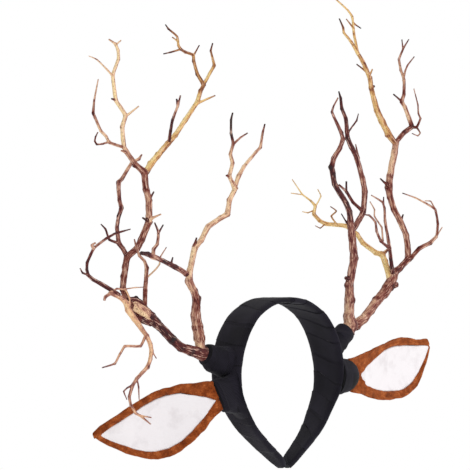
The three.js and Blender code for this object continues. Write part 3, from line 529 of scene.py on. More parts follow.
        [99, 193, 25, 6, 0.66], [93.4, 215, 19, 4.8, 0.58], [92, 225, 16, 4.6, 0.48],
        [85.4, 240.5, 11, 4.2, 0.56], [79.6, 250.6, 8, 3.8, 0.72], [73.6, 261, 3, 3, 0.78],
        [66, 270.5, -2, 2.4, 0.85], [65.3, 275.6, -4, 2.2, 0.3], [61.5, 284.5, -8, 1.3, -0.3],
    ], [
        [79.8, 250, 8, 3, 0.85], [76, 270, 9, 2.6, 0.75], [74.4, 286.4, 10, 2.4, 0.97],
        [69.8, 293, 9, 2, 0.95], [59, 303, 6, 1.6, 0.85], [52, 310, 4, 1, 0.8],
    ], [
        [89, 231, 14, 2.2, 0.5], [78.7, 239, 17, 1.2, -0.1],
    ], [
        [91.5, 227, 16, 2.2, 0.5], [94.6, 234, 15, 1.3, 0.4],
    ], [
        [75.5, 280, 9.6, 1.9, 0.5], [83, 274.8, 9, 1.1, -0.3],
    ], [
        [75.6, 275, 9.2, 2, 0.6], [68.4, 284.2, 11, 1.1, 0.2],
    ], [
        [93.2, 215, 19, 3.4, 0.4], [96.6, 217.2, 18.6, 1.9, -0.2],
    ]],
    "right_fan": [[
        [118, 161, 32, 4.6, 0.2], [126, 170.3, 34, 5, 0.1], [133.6, 176.7, 36, 5, 0],
        [131, 185.7, 38, 4.4, 0.65], [127, 196, 40, 4, 0.75], [124, 201.6, 41, 4, 0.5],
        [126, 208.6, 43, 3.4, 0.05], [126.2, 223.3, 46, 3, 0.55], [123, 233, 49, 2.6, 0.5],
        [121.2, 243.7, 52, 2.4, 0.4], [125.4, 254.5, 54, 2, 0.3], [131, 263.8, 57, 1.1, -0.2],
    ], [
        [125.2, 254, 54, 1.7, 0.3], [124, 263.7, 53, 1.1, -0.3],
    ], [
        [125.7, 222.5, 46, 2, 0.5], [127.2, 231.6, 45, 1.9, 0.4], [129.8, 238, 43, 1.7, 0.3],
        [136.5, 246.6, 40, 1.1, -0.2],
    ], [
        [124.3, 201.4, 41, 2.2, 0.2], [115.5, 209, 46, 1.4, -0.35],
    ], [
        [133, 176.5, 36, 3, 0], [138.7, 176, 33, 2.6, -0.1], [142.5, 184.4, 29, 2, 0.2],
        [140.6, 189.5, 27, 1.8, 0.3], [140, 198.4, 24, 1.5, 0.3], [136, 214.4, 19, 1, 0.2],
    ], [
        [138.7, 176, 33, 1.9, 0], [142.3, 170.3, 31, 1.5, 0.5], [140, 167.5, 30, 1.3, 0.4],
        [134.2, 169.7, 29, 1, -0.2],
    ]],
    "right_hook": [[
        [128.5, 43.5, 21.5, 4.4, 0.1], [133.4, 45.6, 19, 4.4, 0.1], [141.4, 54.6, 14, 4.4, 0.15],
        [152.4, 60.4, 9, 4, 0.35], [158.8, 67, 5, 3.2, 0.4],
    ], [
        [158.5, 66.6, 5, 1.8, 0.6], [164.4, 76, 8, 1, 0.5],
    ]],
    "right_hook_top": [[
        [158.8, 67, 5, 2.8, 0.35], [160, 79.4, 1, 2.6, 0.15], [157.4, 93.5, -3, 2.4, 0.12],
        [148.4, 99.6, -6, 2.1, 0.6], [137.4, 105.4, -9, 1.7, 0.85], [124.7, 110, -11, 1.1, -0.1],
    ], [
        [156.6, 95, -3.5, 1.6, 0.3], [153, 101.8, -3, 1.3, 0.45], [147, 102.4, -3.5, 1, 0.6],
    ]],
    "right_yellow": [[
        [112, 23, 17.5, 6, 0.85], [109.8, 33, 21, 6, 0.85], [106.8, 42, 24, 5.6, 0.92],
        [104, 48.5, 26, 6.2, 1], [98, 50.6, 28, 5, 0.97], [85, 60.4, 32, 4.8, 0.9],
        [79.2, 68.6, 35, 4.6, 0.75], [68.5, 77, 39, 4.4, 0.78], [48, 79.4, 45, 4, 0.82],
        [41.7, 82.6, 47, 3.8, 0.78], [36, 89, 49, 3.6, 0.82], [37.3, 97, 51, 3, 0.94],
        [32.8, 102.4, 53, 2, 1], [24.5, 108.8, 56, 1.6, 0.97], [14.3, 123.8, 61, 0.9, 0.72],
    ], [
        [104, 48, 26, 3.4, 0.7], [110, 53.5, 30, 3, 0.1],
    ], [
        [25, 108.4, 56, 1.2, 0.95], [13, 110, 54, 0.9, 0.9],
    ], [
        [37.3, 96, 51, 1.6, 0.98], [43, 107, 48, 1.3, 1], [39.8, 114, 45, 0.9, 0.9],
    ], [
        [59, 78.5, 42, 1.8, 0.65], [53.5, 87, 38, 1.7, 0.6], [58.4, 92, 35, 1.5, 0.5],
        [52.6, 96.6, 32, 1, 0.1],
    ], [
        [36.6, 93, 50, 1.7, 0.8], [30, 90.5, 50, 1.2, 0.8], [24.5, 91.5, 50.5, 0.9, 0.8],
    ], [
        [47, 79, 45, 1.6, 0.5], [42.4, 75, 44, 1.1, 0.2], [37.3, 77.5, 43, 0.9, 0],
    ]],
    "right_sprig": [[
        [115.5, 27, 17.5, 4.2, 0], [114, 36, 13, 4.2, 0], [113, 44, 10, 3.8, 0.04],
        [111.8, 55, 7, 3.6, 0.1], [107.2, 82, 2, 2.8, 0.4], [106.6, 95, 0, 2.4, 0.35],
        [104.6, 101, -1, 2.2, 0.25], [93.4, 108, -5, 1.1, 0.6],
    ], [
        [105.6, 100, -1, 1.6, 0.2], [105.8, 106, 2, 1.2, -0.3],
    ], [
        [111.6, 55, 7, 3, 0.15], [103, 62, 3, 2.8, 0.2], [98.8, 72, -1, 2.6, 0.3],
        [97.5, 81, -4, 2.3, 0.35], [91.5, 87.7, -8, 2, 0.3], [87.7, 88.4, -10, 1.3, 0.2],
    ], [
        [105, 62.3, 3.5, 1.8, 0.6], [103.8, 75.6, 6, 1.7, 0.55], [96.6, 87, 9, 1.6, 0.55],
        [96.6, 93.5, 11, 1.4, 0.55], [92, 101.7, 14, 1, 0.45],
    ]],
}
TWIG_SLOTS = {
    "bark": [
        "left_beam", "left_side_branch", "left_dark_twig", "left_upright", "left_curl",
        "left_curl_top", "right_trunk", "right_trunk_fork", "right_sprig",
    ],
    "russet_bark": [
        "left_tine", "left_tine_fork", "left_crown", "left_crown_spray", "left_sprig",
        "right_beam", "right_fan", "right_hook", "right_hook_top",
    ],
    "stripped_wood": ["left_crown_fork", "left_crown_tip", "right_golden", "right_yellow"],
    "pale_bark": ["left_droop", "left_zigzag"],
}


# Shapes
def roll_up(body, rings, sides, place, measure=None):
    """Rolls a flat sheet of cells into a tube: place gives the point for a ring and a side, and
    measure, where the sheet keeps its own pattern, how far along and across the cell lies."""
    spread = Matrix.Diagonal((rings, sides, 1, 1)) @ Matrix.Translation((0.5, 0.5, 0))
    sheet = bmesh.ops.create_grid(
        body, x_segments=rings, y_segments=sides, size=0.5, matrix=spread
    )["verts"]
    if measure:
        pattern = body.loops.layers.uv.new("ribbon")
        for face in body.faces:
            for loop in face.loops:
                loop[pattern].uv = measure(round(loop.vert.co.x), round(loop.vert.co.y))
    for vert in sheet:
        vert.co = place(round(vert.co.x), round(vert.co.y))


def closed_piece(name, body):
    """Closes seams and poles, turns the faces outward and makes the object."""
    bmesh.ops.remove_doubles(body, verts=body.verts, dist=MERGE)
    bmesh.ops.dissolve_degenerate(body, edges=body.edges, dist=MERGE)
    bmesh.ops.recalc_face_normals(body, faces=body.faces)
    mesh = bpy.data.meshes.new(name)
    body.to_mesh(mesh)
    body.free()
    mesh.shade_smooth()
    piece = bpy.data.objects.new(name, mesh)
    bpy.context.scene.collection.objects.link(piece)
    return piece


def wear(piece, node, material):
    """Puts a finished piece on the headband in place of its CAD node."""
    piece.data.materials.append(material)
    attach(piece, "root")
    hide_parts(node)


def table_at(rows, where):
    """A table's other columns at a value of its first column."""
    firsts = [row[0] for row in rows]
    after = min(max(bisect.bisect_right(firsts, where), 1), len(rows) - 1)
    low, high = rows[after - 1], rows[after]
    share = min(max((where - low[0]) / (high[0] - low[0]), 0), 1)
    return [a + (b - a) * share for a, b in zip(low[1:], high[1:])]


def bent_line(knots, step, rounded):
    """Points along a line through the knots, and the number of the knot before each. rounded is 1
    for smooth bends, and less for bends that kink at the knots."""
    last = len(knots) - 1
    line = []
    for index, (start, end) in enumerate(zip(knots, knots[1:])):
        straight = (end - start).normalized()
        reach = (end - start).length / 3
        out_of = straight.lerp((end - knots[max(index - 1, 0)]).normalized(), rounded)
        into = straight.lerp((knots[min(index + 2, last)] - start).normalized(), rounded)
        count = max(2, math.ceil((end - start).length / step))
        run = geometry.interpolate_bezier(
            start, start + out_of * reach, end - into * reach, end, count + 1
        )
        line += [(point, index + part / count) for part, point in enumerate(run[:-1])]
    return line + [(knots[last], last)]


def lengths_to(line):
    """How far along a line each of its points lies."""
    lengths = [0.0]
    for before, after in zip(line, line[1:]):
        lengths.append(lengths[-1] + (after - before).length)
    return lengths


# Twigs
class Grain(NamedTuple):
    """A section of a limb."""
    at: Vector
    axis: Vector
    level: Vector
    upright: Vector
    bud: Vector
    radius: float
    bare: float
    along: float


def twig_point(across, up, back):
    """A point drawn on the picture at some depth, moved out as much as distance shrinks it."""
    flat = Vector(((across + back * math.sin(PLANE_TURN)) / math.cos(PLANE_TURN), back, up)) * MM
    shrink = INWARD.dot(flat) / CAMERA_DISTANCE
    middle_across, middle_up = PICTURE_MIDDLE
    aside = ACROSS * (across - middle_across) + Vector((0, 0, up - middle_up))
    return flat + aside * shrink * MM


def bud_side(knots, index):
    """The outside of a bend, where a bud sits, longer for a bigger bud."""
    here = knots[index]
    before, after = knots[index - 1], knots[min(index + 1, len(knots) - 1)]
    bend = (here - before).normalized() + (here - after).normalized()
    bend += noise.noise_vector(here / MM) * BUD_STRAY
    return bend.normalized() * (BUD_SIZE + BUD_VARIES * noise.noise(here / BUD_CELL))


def limb_grain(rows, number):
    """A limb's sections, with buds at its bends, a collar at its foot and a natural wobble."""
    knots = [twig_point(*row[:3]) for row in rows]
    line = bent_line(knots, TWIG_STEP, ROUNDED)
    points = [point for point, _ in line]
    lengths = lengths_to(points)
    marks = [along for (_, knot), along in zip(line, lengths) if knot == int(knot)]
    buds = [bud_side(knots, index) for index in range(1, len(knots))]
    level = Vector((0, 1, 0))
    grain = []
    for index, ((point, knot), along) in enumerate(zip(line, lengths)):
        axis = (points[min(index + 1, len(line) - 1)] - points[max(index - 1, 0)]).normalized()
        level = (level - axis * level.dot(axis)).normalized()
        girth, bare = table_at([[i, row[3], row[4]] for i, row in enumerate(rows)], knot)
        near, bud = min((abs(along - mark), i) for i, mark in enumerate(marks[1:]))
        lump = LUMP * noise.noise(point / LUMP_LENGTH)
        bump = BUMP * noise.noise(point / BUMP_LENGTH)
        radius = girth / 2 * MM
        radius *= 1 + KNOT_SWELL * math.exp(-((near / KNOT_REACH) ** 2))
        if number:
            radius *= 1 + COLLAR_SWELL * math.exp(-along / (girth * MM))
        radius *= 1 + lump + bump
        stray = noise.noise_vector(point / WOBBLE_LENGTH) * WOBBLE * radius
        grain.append(Grain(
            at=point + stray, axis=axis, level=level.copy(), upright=axis.cross(level),
            bud=buds[bud] * math.exp(-((near / BUD_REACH) ** 2)),
            radius=radius, bare=bare, along=along + number * LIMB_APART * MM,
        ))
    return grain


def limb_tube(body, grain):
    """A limb as a tube with a rounded foot and tip."""
    last = len(grain) - 1

    def place(ring, side):
        here = grain[min(max(ring - 1, 0), last)]
        if ring == 0:
            return here.at - here.axis * here.radius * FOOT_ROUND
        if ring == last + 2:
            return here.at + here.axis * here.radius * TIP_ROUND
        angle = 2 * math.pi * side / LIMB_SIDES
        out = here.level * math.cos(angle) + here.upright * math.sin(angle)
        return here.at + out * here.radius

    roll_up(body, last + 2, LIMB_SIDES, place)


def fuse(piece):
    """Grows a twig's limbs into one skin."""
    skin = piece.modifiers.new("skin", "REMESH")
    skin.mode = "VOXEL"
    skin.voxel_size = TWIG_VOXEL
    skin.use_smooth_shade = True
    graph = bpy.context.evaluated_depsgraph_get()
    fused = bpy.data.meshes.new_from_object(piece.evaluated_get(graph))
    piece.modifiers.clear()
    piece.data = fused
    body = bmesh.new()
    body.from_mesh(fused)
    for _ in range(SKIN_PASSES):
        bmesh.ops.smooth_vert(
            body, verts=body.verts, factor=0.5, use_axis_x=True, use_axis_y=True, use_axis_z=True
        )
    body.to_mesh(fused)
    body.free()


def grow_bark(piece, grain):
    """Gives the skin its ridges and buds, and tells the material where on its limb each point
    lies and how bare it is, with painted shade that darkens each limb's side facing ACROSS."""
    tree = kdtree.KDTree(len(grain))
    for index, section in enumerate(grain):
        tree.insert(section.at, index)
    tree.balance()
    lies, bare_and_painted_shade = [], []
    for vert in piece.data.vertices:
        near = tree.find_n(vert.co, NEAR_SECTIONS)
        _, index, _ = min(near, key=lambda found: found[2] - grain[found[1]].radius)
        here = grain[index]
        offset = vert.co - here.at
        along = offset.dot(here.axis)
        out = offset - here.axis * along
        lie = Vector((out.dot(here.level), out.dot(here.upright), here.along + along))
        facing = out.normalized()
        ridge = Vector((lie.x / RIDGE_WIDTH, lie.y / RIDGE_WIDTH, lie.z / RIDGE_LENGTH))
        relief = (noise.noise(ridge) + noise.noise(lie / BARK_LUMP)) * BARK_RELIEF
        short = here.radius - out.length
        mend = short if 0 < short < TWIG_VOXEL else 0
        bud = max(0, facing.dot(here.bud))
        vert.co += facing * (mend + (relief + BUD_SWELL * bud * bud) * here.radius)
        lies.extend(lie)
        # painted shade: the side facing ACROSS is moved towards the bark tones, so it is darker as
        # if in shadow
        painted_shade = PAINTED_SHADE_SIDE * max(0, facing.dot(ACROSS)) * max(here.bare, PAINTED_SHADE_LEAST)
        scarred = SCAR * (SCAR_RING * here.bud.length + (1 - SCAR_RING) * bud)
        bare_and_painted_shade.append(here.bare - painted_shade - scarred)
    piece.data.attributes.new("lie", "FLOAT_VECTOR", "POINT").data.foreach_set("vector", lies)
    piece.data.attributes.new("bare", "FLOAT", "POINT").data.foreach_set("value", bare_and_painted_shade)


def twig(name, material):
    body = bmesh.new()
    grain = []
    for number, rows in enumerate(TWIGS[name]):
        limb = limb_grain(rows, number)
        limb_tube(body, limb)
        grain += limb
    piece = closed_piece(name + "_twig", body)
    fuse(piece)
    grow_bark(piece, grain)
    wear(piece, name, material)


# Ribbon
def wind(name, tape, turns, length, sides, lead, surface, foot, cap):
    """Winds a tape round a core in overlapping turns. lead gives how much of a turn's advance is
    made by each side, surface a point of the core and the way it faces, foot is where the core
    starts, and cap closes its far end."""
    pitch = length / turns
    laps = len(RIBBON_ROWS)
    wound = laps * (turns + 1)

    def place(ring, side):
        if ring == 0:
            return foot
        if ring > wound:
            return cap((ring - wound) / CAP_RINGS, side)
        turn, row = divmod(ring - 1, laps)
        share, lift = RIBBON_ROWS[row]
        round_it = turn + side / sides
        slip = SLIP * noise.noise((round_it * SLIP_RATE, SLIP_DRAW, len(name)))
        shows = EDGE_GAIN * noise.noise((round_it * EDGE_RATE, EDGE_DRAW, len(name))) ** 2
        along = (turn - 1 + share + lead(side) + slip) * pitch
        along = min(max(along, 0), length)
        fade = min(1, along / ENDS_FADE, (length - along) / ENDS_FADE)
        edge = min(1, EDGE_LEAST + shows)
        point, facing = surface(along, side)
        crease = noise.noise([value / (fold * MM) for value, fold in zip(point, tape.folds)])
        stands = lift * edge * tape.proud + tape.crumple * (abs(crease) - FOLD_REST)
        return point + facing * stands * fade * MM

    def measure(ring, side):
        turn, row = divmod(ring - 1, laps)
        return (turn + side / sides) * (tape.girth * MM), RIBBON_ROWS[row][0] * pitch

    body = bmesh.new()
    roll_up(body, wound + CAP_RINGS, sides, place, measure)
    return closed_piece(name, body)


def band_lean(z):
    share = min(max((z / MM - LEAN_FROM) / (LEAN_TO - LEAN_FROM), 0), 1)
    return -BAND_LEAN * MM * share ** LEAN_BEND


def band():
    """The head loop: a flat strip from tip to tip over the crown, wound front over back."""
    right = [Vector((out, half, up)) * MM for out, up, half in BAND_ROWS]
    left = [Vector((-p.x, p.y, p.z)) for p in reversed(right[1:])]
    line = [point for point, _ in bent_line(left + right, BAND_STEP, 1)]
    lengths = lengths_to([Vector((p.x, 0, p.z)) for p in line])
    spine = [[along, *point] for along, point in zip(lengths, line)]
    length = lengths[-1]
    flats, bends = 20, 10
    sides = 2 * (flats + bends)
    thick = BAND_THICKNESS / 2 * MM
    nearby = 1 * MM

    def section(side, half):
        """Where a side lies across the band: its width, its depth and the way it faces."""
        face, part = divmod(side % sides, flats + bends)
        out = 1 if face == 0 else -1
        edge = half * BAND_EDGE
        inset = half - edge
        if part <= flats:
            return out * inset * (2 * part / flats - 1), out * thick, Vector((0, out))
        angle = math.pi * (part - flats) / bends
        width, depth = math.sin(angle), math.cos(angle)
        facing = Vector((out * width * thick, out * depth * edge)).normalized()
        return out * (inset + edge * width), out * thick * depth, facing

    def lead(side):
        if side == sides:
            return 1.0
        face, part = divmod(side, flats + bends)
        start, on_face, on_edge = BAND_LEADS[face]
        if part <= flats:
            return start + on_face * part / flats
        return start + on_face + on_edge * (part - flats) / bends

    def surface(along, side):
        x, half, z = table_at(spine, along)
        ahead = table_at(spine, min(along + nearby, length))
        behind = table_at(spine, max(along - nearby, 0))
        axis = Vector((ahead[0] - behind[0], 0, ahead[2] - behind[2])).normalized()
        outward = Vector((-axis.z, 0, axis.x))
        from_tip = min(along, length - along)
        half += BAND_FULL * MM - BAND_TIP * MM * max(0, 1 - from_tip / (TIP_LENGTH * MM)) ** 2
        width, depth, facing = section(side, half)
        facing = Vector((0, facing.x, 0)) + outward * facing.y
        return Vector((x, width + band_lean(z), z)) + outward * depth, facing

    def middle(along):
        x, _, z = table_at(spine, along)
        return Vector((x, band_lean(z), z))

    def cap(share, side):
        return surface(length, side)[0].lerp(middle(length), share)

    return wind(
        "wound_band", BAND_TAPE, BAND_TURNS, length, sides, lead, surface, middle(0), cap
    )


def wound_holder(name):
    """A sleeve or stem: ribbon wound out from the band's face and tucked in at the mouth."""
    rows = WOUND_ROWS[name]
    turns, flare, tuck, closing, oval = WOUND_MOUTHS[name]
    line = [Vector(row[:3]) for row in rows]
    marks = lengths_to(line)
    spine = [[mark, *row] for mark, row in zip(marks, rows)]
    length = marks[-1] - tuck
    outline = [[up, out] for out, up, _ in reversed(BAND_ROWS)]
    hand = math.copysign(1, rows[0][0])

    def section(along, side):
        """The core's middle and axis, and a side's place on its rim."""
        x, y, z, axis_x, axis_y, axis_z, high, deep = table_at(spine, along)
        axis = Vector((axis_x, axis_y, axis_z)).normalized()
        upright = (UP - axis * axis.z).normalized()
        level = axis.cross(upright)
        angle = 2 * math.pi * side / HOLDER_SIDES
        tall = math.copysign(abs(math.cos(angle)) ** oval, math.cos(angle)) * high / 2
        wide = math.copysign(abs(math.sin(angle)) ** oval, math.sin(angle)) * deep / 2
        return Vector((x, y, z)), axis, upright * tall + level * wide

    def surface(along, side):
        middle, _, rim = section(along / MM, side)
        skirt = max(0, 1 - along / (SKIRT * MM)) ** 2
        point = middle + rim * (1 + flare * skirt)
        (out,) = table_at(outline, point.z)
        point.x += (hand * (out + BAND_THICKNESS / 2 + SKIRT_GAP) - point.x) * skirt
        return point * MM, rim.normalized()

    def cap(share, side):
        middle, axis, rim = section(length, side)
        turned = min(share * CAP_RINGS / (CAP_RINGS - 1), 1) * math.pi / 2
        closed = 1 if share == 1 else closing * (1 - math.cos(turned))
        return (middle + rim * (1 - closed) + axis * tuck * math.sin(turned)) * MM

    def lead(side):
        return side / HOLDER_SIDES

    return wind(
        "wound_" + name, HOLDER_TAPE, turns, length * MM, HOLDER_SIDES, lead, surface,
        line[0] * MM, cap,
    )


# Ears
def ear_point(side, distance, height, lift):
    """A point of an ear from its distance along, its height across and its lift off the floor."""
    ear = EARS[side]
    level = Vector((ear["side"] * math.cos(EAR_SWEEP), math.sin(EAR_SWEEP), 0))
    along = level * math.cos(ear["tilt"]) + UP * math.sin(ear["tilt"])
    up = UP * math.cos(ear["tilt"]) - level * math.sin(ear["tilt"])
    out = up.cross(along) * -ear["side"]
    upper, lower, hollow = table_at(EAR_ROWS[side], distance)
    middle, half = (upper + lower) / 2, (upper - lower) / 2
    share = min(1, abs(height - middle) / half)
    depth = hollow * EAR_CUP * (1 - share * share)
    return (Vector(ear["root"]) + along * distance + up * height + out * (lift - depth)) * MM


def ear_shell(side):
    """The suede shell: a cupped back, and a border rolled over to the front."""
    rows = EAR_ROWS[side]
    start, end = rows[0][0], rows[-1][0]
    backs, rolls, borders, drops, floors = 16, 8, 8, 3, 10
    rims = rolls + borders + drops
    sides = backs + 2 * rims + floors
    mid = (EAR_RIM - EAR_WALL) / 2

    def rim(edge, white, out, roll, sunk, step):
        """A point of the border, from the back over the ear's edge and down to the felt's."""
        top = mid + roll
        if step <= rolls:
            angle = math.pi * step / rolls
            return edge - out * roll + out * roll * math.sin(angle), mid - roll * math.cos(angle)
        share = (step - rolls) / borders
        if share <= 1:
            puff = BORDER_PUFF * math.sin(math.pi * share)
            return edge - out * roll + (white - edge + out * roll) * share, top + puff
        share = (step - rolls - borders) / drops
        return white + out * BORDER_SLOPE * share, top - top * share * sunk

    def profile(distance, number):
        """Height and lift of a point round the section, from the lower edge over the back."""
        upper, lower, _ = table_at(rows, distance)
        white_up, white_low = table_at(LINING_ROWS[side], distance)
        first, last = LINING_ROWS[side][0][0], LINING_ROWS[side][-1][0]
        from_end = min(distance - first, last - distance)
        sunk = min(1, max(0, from_end / SINK_LENGTH))
        roll = min((EAR_RIM + EAR_WALL) / 2, (upper - lower) / ROLLS_HIGH)
        number %= sides
        if number <= backs:
            share = number / backs
            return lower + roll + (upper - lower - 2 * roll) * share, mid - roll
        number -= backs
        if number <= rims:
            return rim(upper, white_up, 1, roll, sunk, number)
        number -= rims
        if number <= floors:
            across = (white_low - white_up - 2 * BORDER_SLOPE) * number / floors
            return white_up + BORDER_SLOPE + across, (mid + roll) * (1 - sunk)
        return rim(lower, white_low, -1, roll, sunk, rims - (number - floors))

    def place(ring, number):
        if ring in (0, EAR_RINGS):
            distance = start if ring == 0 else end
            upper, lower, _ = table_at(rows, distance)
            return ear_point(side, distance, (upper + lower) / 2, 0)
        share = (ring - 1) / (EAR_RINGS - 2)
        distance = start + (end - start) * share
        height, lift = profile(distance, number)
        gathered = max(0, 1 - abs(distance - GATHER_AT) / GATHER_REACH)
        fold = noise.noise((height / GATHER_WIDTH, distance / GATHER_LENGTH, EAR_RINGS))
        point = ear_point(side, distance, height, lift + GATHER * gathered * fold)
        wave = noise.noise_vector(point / WAVE_LENGTH) * WAVE
        pucker = noise.noise_vector(point / PUCKER_LENGTH) * PUCKER
        return point + (wave + pucker) * MM

    body = bmesh.new()
    roll_up(body, EAR_RINGS, sides, place)
    return closed_piece(side + "_suede_ear", body)


def swell(piece, sewn_to, tip):
    """Swells a piece with its stuffing, except at its tip and where it is sewn to another."""
    bpy.context.view_layer.update()
    held = piece.vertex_groups.new(name="held")
    for vertex in piece.data.vertices:
        sewn = any(p.closest_point_on_mesh(vertex.co, distance=SEAM * MM)[0] for p in sewn_to)
        if sewn or (vertex.co - tip).length < TIP_SEAM * MM:
            held.add([vertex.index], 1, "REPLACE")
    cloth = piece.modifiers.new("stuffing", "CLOTH")
    cloth.settings.vertex_group_mass = held.name
    cloth.settings.use_pressure = True
    cloth.settings.uniform_pressure_force = STUFFING
    cloth.settings.effector_weights.gravity = 0
    for moment in range(1, SWELL_FRAMES + 1):
        bpy.context.scene.frame_set(moment)
    swollen = piece.evaluated_get(bpy.context.evaluated_depsgraph_get()).data
    moves = [after.co - before.co for before, after in zip(piece.data.vertices, swollen.vertices)]
    piece.modifiers.remove(cloth)
    piece.vertex_groups.clear()
    bpy.context.scene.frame_set(1)
    for vertex, move in zip(piece.data.vertices, moves):
        vertex.co += move * min(1, SWELL_CAP * MM / max(move.length, MERGE))


def ear_lining(side):
    """The felt: a sheet laid in the hollow, its edge tucked against the border."""
    rows = LINING_ROWS[side]
    start, end = rows[0][0], rows[-1][0]
    sides = 2 * FELT_CELLS
    spans = FELT_RINGS - 2

    def place(ring, number):
        distance = start + (end - start) * min(max(ring - 1, 0), spans) / spans
        upper, lower = table_at(rows, distance)
        upper, lower = upper + FELT_TUCK, lower - FELT_TUCK
        if ring in (0, FELT_RINGS):
            return ear_point(side, distance, (upper + lower) / 2, FELT_END)
        front, part = divmod(number % sides, FELT_CELLS)
        share = part / FELT_CELLS if front else 1 - part / FELT_CELLS
        height = lower + (upper - lower) * share
        crown = FELT_CROWN * math.sin(math.pi * share)
        lift = FELT_GAP + FELT_THICKNESS + crown if front else FELT_GAP
        point = ear_point(side, distance, height, lift)
        return point + noise.noise_vector(point / FELT_WAVE_LENGTH) * FELT_WAVE * MM

    body = bmesh.new()
    roll_up(body, FELT_RINGS, sides, place)
    return closed_piece(side + "_felt_lining", body)


# Materials
def srgb(colour):
    """A hex colour as linear values."""
    parts = [int(colour[i:i + 2], 16) / 255 for i in (1, 3, 5)]
    return [p / 12.92 if p <= 0.04045 else ((p + 0.055) / 1.055) ** 2.4 for p in parts] + [1]


def join(tree, made, sockets):
    """Gives a node's sockets their values or links."""
    for name, value in dict(sockets).items():
        if isinstance(value, bpy.types.NodeSocket):
            tree.links.new(value, made.inputs[name])
        else:
            made.inputs[name].default_value = value


def lay(tree, kind, sockets=(), stops=(), out=0, **settings):
    """Adds a node with its settings, its sockets' values or links and a ramp's stops, and gives
    one of its outputs."""
    made = tree.nodes.new("ShaderNode" + kind)
    for name, value in settings.items():
        setattr(made, name, value)
    join(tree, made, sockets)
    for index, (where, colour) in enumerate(stops):
        ramp = made.color_ramp.elements
        stop = ramp[index] if index < 2 else ramp.new(where)
        stop.position = where
        stop.color = srgb(colour)
    return made.outputs[out]


def blank(name):
    """A new material, its node tree and its surface shader."""
    material = bpy.data.materials.new(name)
    material.use_nodes = True
    return material, material.node_tree, material.node_tree.nodes["Principled BSDF"]


# Where the tones of a wood lie between withered and bare. A ramp is made with its two ends.
TONE_STOPS = [0, 1, 0.2, 0.32, 0.45, 0.6, 0.75, 0.88]
WOODS = {
    # name, contrast of its streaks, how dark its specks are, tones at the stops
    # Dark bark looks red-black, and pinkish where it is worn
    "bark": ["dark bark", 1.1, 0.6, [
        "#281e20", "#f6e4c4", "#3c1216", "#5b211e", "#956356", "#cca082", "#e6c29c", "#eecea0",
    ]],
    # Russet bark looks red-brown, wearing to a warm tan
    "russet_bark": ["russet bark", 1.1, 0.7, [
        "#2c1e1a", "#f4daa2", "#441513", "#68281c", "#9b6a5a", "#d0a686", "#e6c59e", "#edd0a4",
    ]],
    # Stripped wood looks golden, with brown left in its hollows
    "stripped_wood": ["stripped wood", 1.15, 0.5, [
        "#302422", "#f6e2b0", "#401c18", "#683624", "#a06a42", "#d2a66a", "#e5c684", "#efd496",
    ]],
    # Pale bark looks tan-pink, with dark streaks
    "pale_bark": ["pale bark", 1.2, 0.5, [
        "#3a2a2b", "#f6e2c0", "#54282a", "#7c463e", "#b1806c", "#d8a780", "#e8be92", "#efce9e",
    ]],
}
WOOD_MARKS = {
    # size across and along the limb in millimetres, detail, roughness
    "fibre": [1.1, 9, 3, 0.5],
    "flake": [4.5, 11, 4, 0.65],
    "speck": [1.3, 2.6, 2, 0.5],
    "tick": [3, 0.7, 1, 0.5],
}


def wood(name, contrast, speck, tones):
    """Twig wood: thin smooth bark in streaks along the limb, worn through to the wood in patches,
    with dark specks and short ticks across it, pale streaks that are both worn scuffs and painted
    highlights, and painted shade on each limb's side facing ACROSS. It has some gloss, so its edges
    glance pale."""
    material, tree, skin = blank(name)
    lie = lay(tree, "Attribute", out="Vector", attribute_name="lie")
    # the bare attribute also carries painted shade on each limb's side facing ACROSS
    bare = lay(tree, "Attribute", out="Fac", attribute_name="bare")
    marks = {}
    for mark, (wide, long, detail, roughness) in WOOD_MARKS.items():
        cells = lay(tree, "Mapping", {
            "Vector": lie, "Scale": (1 / (wide * MM), 1 / (wide * MM), 1 / (long * MM)),
        })
        marks[mark] = lay(tree, "TexNoise", {
            "Vector": cells, "Scale": 1, "Detail": detail, "Roughness": roughness,
        })
    both = lay(tree, "Math", {0: marks["fibre"], 1: marks["flake"]}, operation="ADD")
    worn = lay(tree, "Math", {
        0: both, 1: contrast, 2: -contrast,
    }, operation="MULTIPLY_ADD")
    tone = lay(tree, "Math", {0: worn, 1: bare}, operation="ADD")
    where = lay(tree, "MapRange", {
        "Value": tone, "From Min": -0.5, "From Max": 1.2,
    })
    colour = lay(tree, "ValToRGB", {"Fac": where}, stops=zip(TONE_STOPS, tones))
    for mark, start, full, most, tint in [
        # from this value of the mark to that, at most this much, of this tint
        ("speck", 0.58, 0.68, speck, "#3a1c1c"),
        ("tick", 0.62, 0.7, 0.4, "#5a3028"),
        # pale fibre streaks: worn pinkish scuffs, strengthened as painted highlights
        ("fibre", 0.57, 0.7, 0.75, "#e2c0ae"),
    ]:
        share = lay(tree, "MapRange", {
            "Value": marks[mark], "From Min": start, "From Max": full, "To Max": most,
        })
        colour = lay(tree, "Mix", {
            0: share, 6: colour, 7: srgb(tint),
        }, out=2, data_type="RGBA")
    rough = lay(tree, "MapRange", {
        "Value": marks["fibre"], "To Min": 0.35, "To Max": 0.65,
    })
    bump = lay(tree, "Bump", {
        "Height": both, "Strength": 0.5, "Distance": 0.25 * MM,
    })
    join(tree, skin, {
        "Base Color": colour, "Roughness": rough, "Normal": bump,
        "Specular IOR Level": 0.2, "Sheen Weight": 0.3, "Sheen Roughness": 0.14,
        "Sheen Tint": srgb("#f4e0d8"),
    })
    return material


